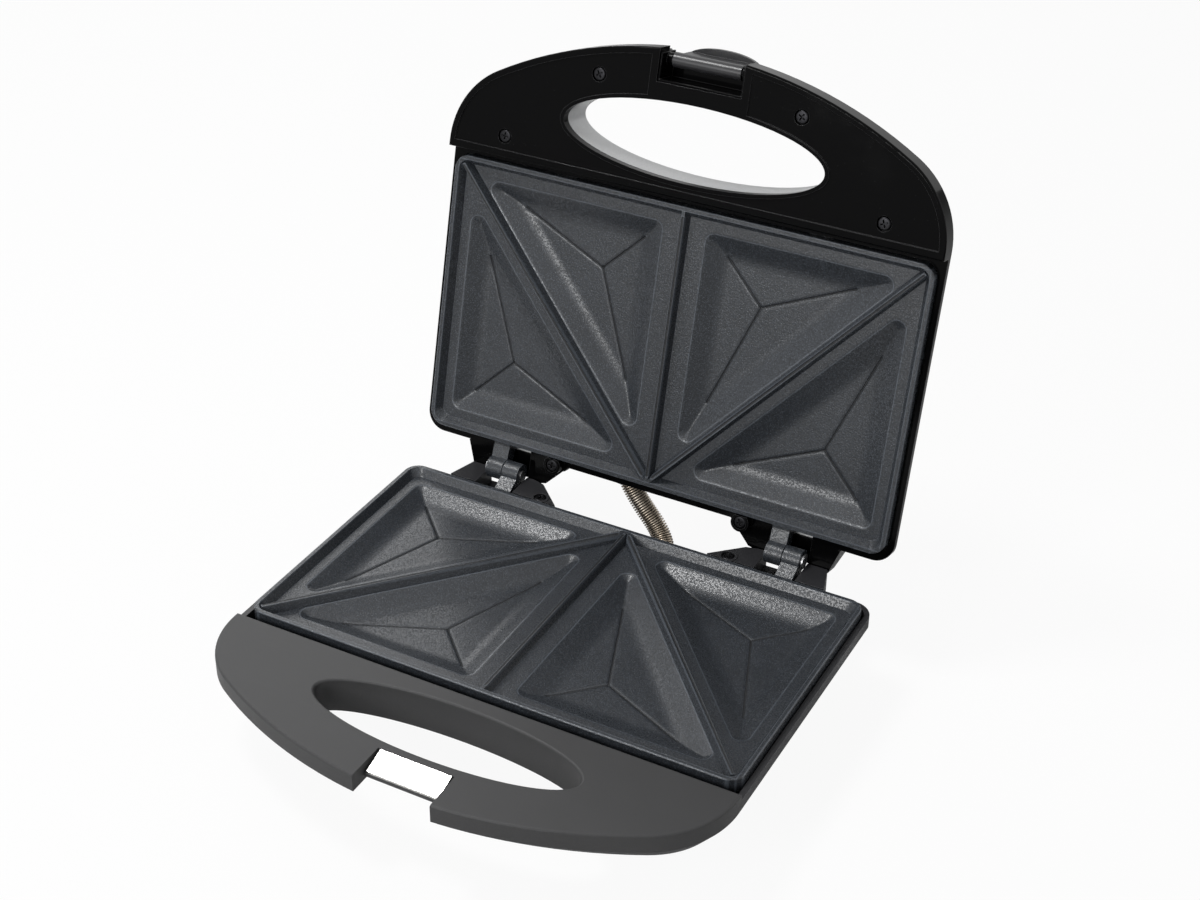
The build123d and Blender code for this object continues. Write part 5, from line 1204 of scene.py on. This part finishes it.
@dataclass
class Studio:
    """Floor, soft lamps, white surroundings and the camera at the photograph's angle."""

    focal_px: float = 2024.39
    frame_width_px: float = 1200.0
    sensor: float = 36.0
    azimuth: float = 0.486792
    elevation: float = 0.570079
    roll: float = 0.00988751
    distance: float = 0.846762
    target: Point = (-0.000585, 0.027388, 0.098479)
    floor_half: float = 14.0
    sky_level: float = 0.2
    floor_glow: float = 0.93
    floor_tone: float = 0.86
    seen_from: float = 0.01
    seen_to: float = 100.0
    lit_place: Point = (0.0, 0.03, 0.08)
    lamps: tuple[Lamp, ...] = (
        Lamp("overhead", (-0.42, -0.1, 1.1), (0.26, 0.26), 6.5),
        Lamp("front", (-0.3, -1.25, 0.66), (0.3, 0.6), 8.5),
        Lamp("rear_left", (-1.05, 0.95, 0.85), (0.8, 0.8), 4.0),
        Lamp("right_rim", (1.1, 0.7, 0.6), (0.4, 0.9), 2.0),
    )

    def camera(self) -> bpy.types.Object:
        """Set up the camera."""
        azimuth, level = self.azimuth, math.cos(self.elevation)
        out = (math.sin(azimuth) * level, -math.cos(azimuth) * level, math.sin(self.elevation))
        back = Vector(out)
        right = (-back).cross(Vector((0, 0, 1))).normalized()
        up = right.cross(-back)
        turned_right = right * math.cos(self.roll) + up * math.sin(self.roll)
        turned_up = up * math.cos(self.roll) - right * math.sin(self.roll)
        data = bpy.data.cameras.new("photo_view")
        data.sensor_fit = "HORIZONTAL"
        data.sensor_width = self.sensor
        data.lens = self.focal_px * self.sensor / self.frame_width_px
        data.clip_start, data.clip_end = self.seen_from, self.seen_to
        camera = linked("photo_view", data)
        axes = Matrix((turned_right, turned_up, back)).transposed()
        place = Matrix.Translation(Vector(self.target) + back * self.distance)
        camera.matrix_world = place @ axes.to_4x4()
        bpy.context.scene.camera = camera
        return camera

    def floor(self) -> bpy.types.Object:
        """A wide pale floor that keeps a soft shadow."""
        half = self.floor_half
        mesh = bpy.data.meshes.new("floor")
        corners = [(-half, -half, 0), (half, -half, 0), (half, half, 0), (-half, half, 0)]
        mesh.from_pydata(corners, [], [(0, 1, 2, 3)])
        graph = Graph(bpy.data.materials.new("pale_floor"), "ShaderNodeMixShader")
        cloth = graph.add("ShaderNodeBsdfDiffuse", {}, {"Color": rgba([self.floor_tone] * 3)})
        bright = graph.add("ShaderNodeEmission", {}, {"Color": (1, 1, 1, 1), "Strength": 1.0})
        path = graph.add("ShaderNodeLightPath", {}, {})
        camera = Value(graph, path.outputs["Is Camera Ray"])
        graph.feed(graph.shader.inputs[0], camera * self.floor_glow)
        graph.feed(graph.shader.inputs[1], cloth.outputs[0])
        graph.feed(graph.shader.inputs[2], bright.outputs[0])
        floor = new_piece("floor", mesh, graph.owner)
        return floor

    def surroundings(self) -> None:
        """A white world for what is seen, and a plainer level for what lights the object."""
        world = bpy.data.worlds.new("white_studio")
        bpy.context.scene.world = world
        graph = Graph(world, "ShaderNodeBackground")
        path = graph.add("ShaderNodeLightPath", {}, {})
        shown = Value(graph, path.outputs["Is Camera Ray"])
        for name in ("Is Glossy Ray", "Is Transmission Ray"):
            shown = shown.most(Value(graph, path.outputs[name]))
        levels = {"Value": shown, "To Min": self.sky_level, "To Max": 1.0}
        strength = graph.add("ShaderNodeMapRange", {}, levels).outputs[0]
        graph.set(Color=rgba((1, 1, 1)), Strength=strength)

    def build(self) -> None:
        """Set up the whole studio."""
        self.camera()
        self.floor()
        self.surroundings()
        for lamp in self.lamps:
            lamp.build(self.lit_place)
        bpy.context.scene.view_settings.view_transform = "Standard"


# ---------------------------------------------------------------- the whole toaster
def finishes() -> dict[str, bpy.types.Material]:
    """Every finish of the pieces that keep their own shape, by the record's slot."""
    made = [
        Moulding("base_black", (0.02, 0.02, 0.022), roughness=0.42),
        Moulding("handle_grey", (0.044, 0.044, 0.045), grain=0.4 * MM, mottle=0.05, specular=0.3),
        Moulding("latch_black", (0.022, 0.022, 0.024), 0.3, grain=0.5 * MM, grain_depth=0.012 * MM),
        Moulding("ferrule_black", (0.02, 0.02, 0.021)),
        GlossMoulding("frame_gloss", (0.0018, 0.0018, 0.002)),
        SilverLacquer("shell_silver", (0.46, 0.465, 0.47)),
        Metal("bright_metal", (0.64, 0.635, 0.615), 0.24, (24, 1, 1)),
        Metal("element_steel", (0.42, 0.38, 0.34), 0.38, EVEN, (0.3, 0.2, 0.16), 0.7),
        Metal("tray_steel", (0.72, 0.73, 0.74), 0.3, (20, 1, 1)),
        Metal("screw_steel", (0.42, 0.42, 0.43), 0.34, EVEN),
        Metal("screw_black", (0.022, 0.022, 0.024), 0.36, EVEN),
        Metal("spring_steel", (0.5, 0.45, 0.39), 0.3, EVEN, (0.36, 0.28, 0.19), 0.6),
        Rubber("rubber", (0.018, 0.018, 0.018)),
        Ceramic("ceramic", (0.82, 0.8, 0.75)),
        ClearMoulding("lens_red", (0.75, 0.06, 0.04)),
        ClearMoulding("lens_green", (0.05, 0.6, 0.15)),
        ClearMoulding("lamp_glass", (0.95, 0.8, 0.7), transmission=0.5),
    ]
    return {finish.name: finish.make() for finish in made}


def report(piece: bpy.types.Object) -> None:
    """Log a piece that is ready."""
    LOG.info("%s: %d faces", piece.name, len(piece.data.polygons))


def main() -> None:
    """Build every piece in order, then give the nodes that keep their shape their finishes."""
    logging.basicConfig(level=logging.INFO, format="%(message)s")
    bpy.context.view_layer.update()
    Studio().build()
    LOG.info("studio ready")
    finish = finishes()
    for half, name in ((Half.BASE, "lower"), (Half.LID, "upper")):
        report(CastPlate(half, name).build())
    for group in ScrewSet:
        slot = "screw_steel" if group is ScrewSet.UNDERSIDE else "screw_black"
        report(CrossScrews(group, finish[slot], slot).build())
    report(NotchLiner(finish["frame_gloss"]).build())
    report(Conduit(finish["spring_steel"], finish["base_black"]).build())
    shown = [name for name, node in frame["nodes"].items() if not node.hide_render]
    Dresser(finish).dress(shown)
    LOG.info("dressed %d nodes that keep their shape", len(shown))


if __name__ == "__main__":
    main()
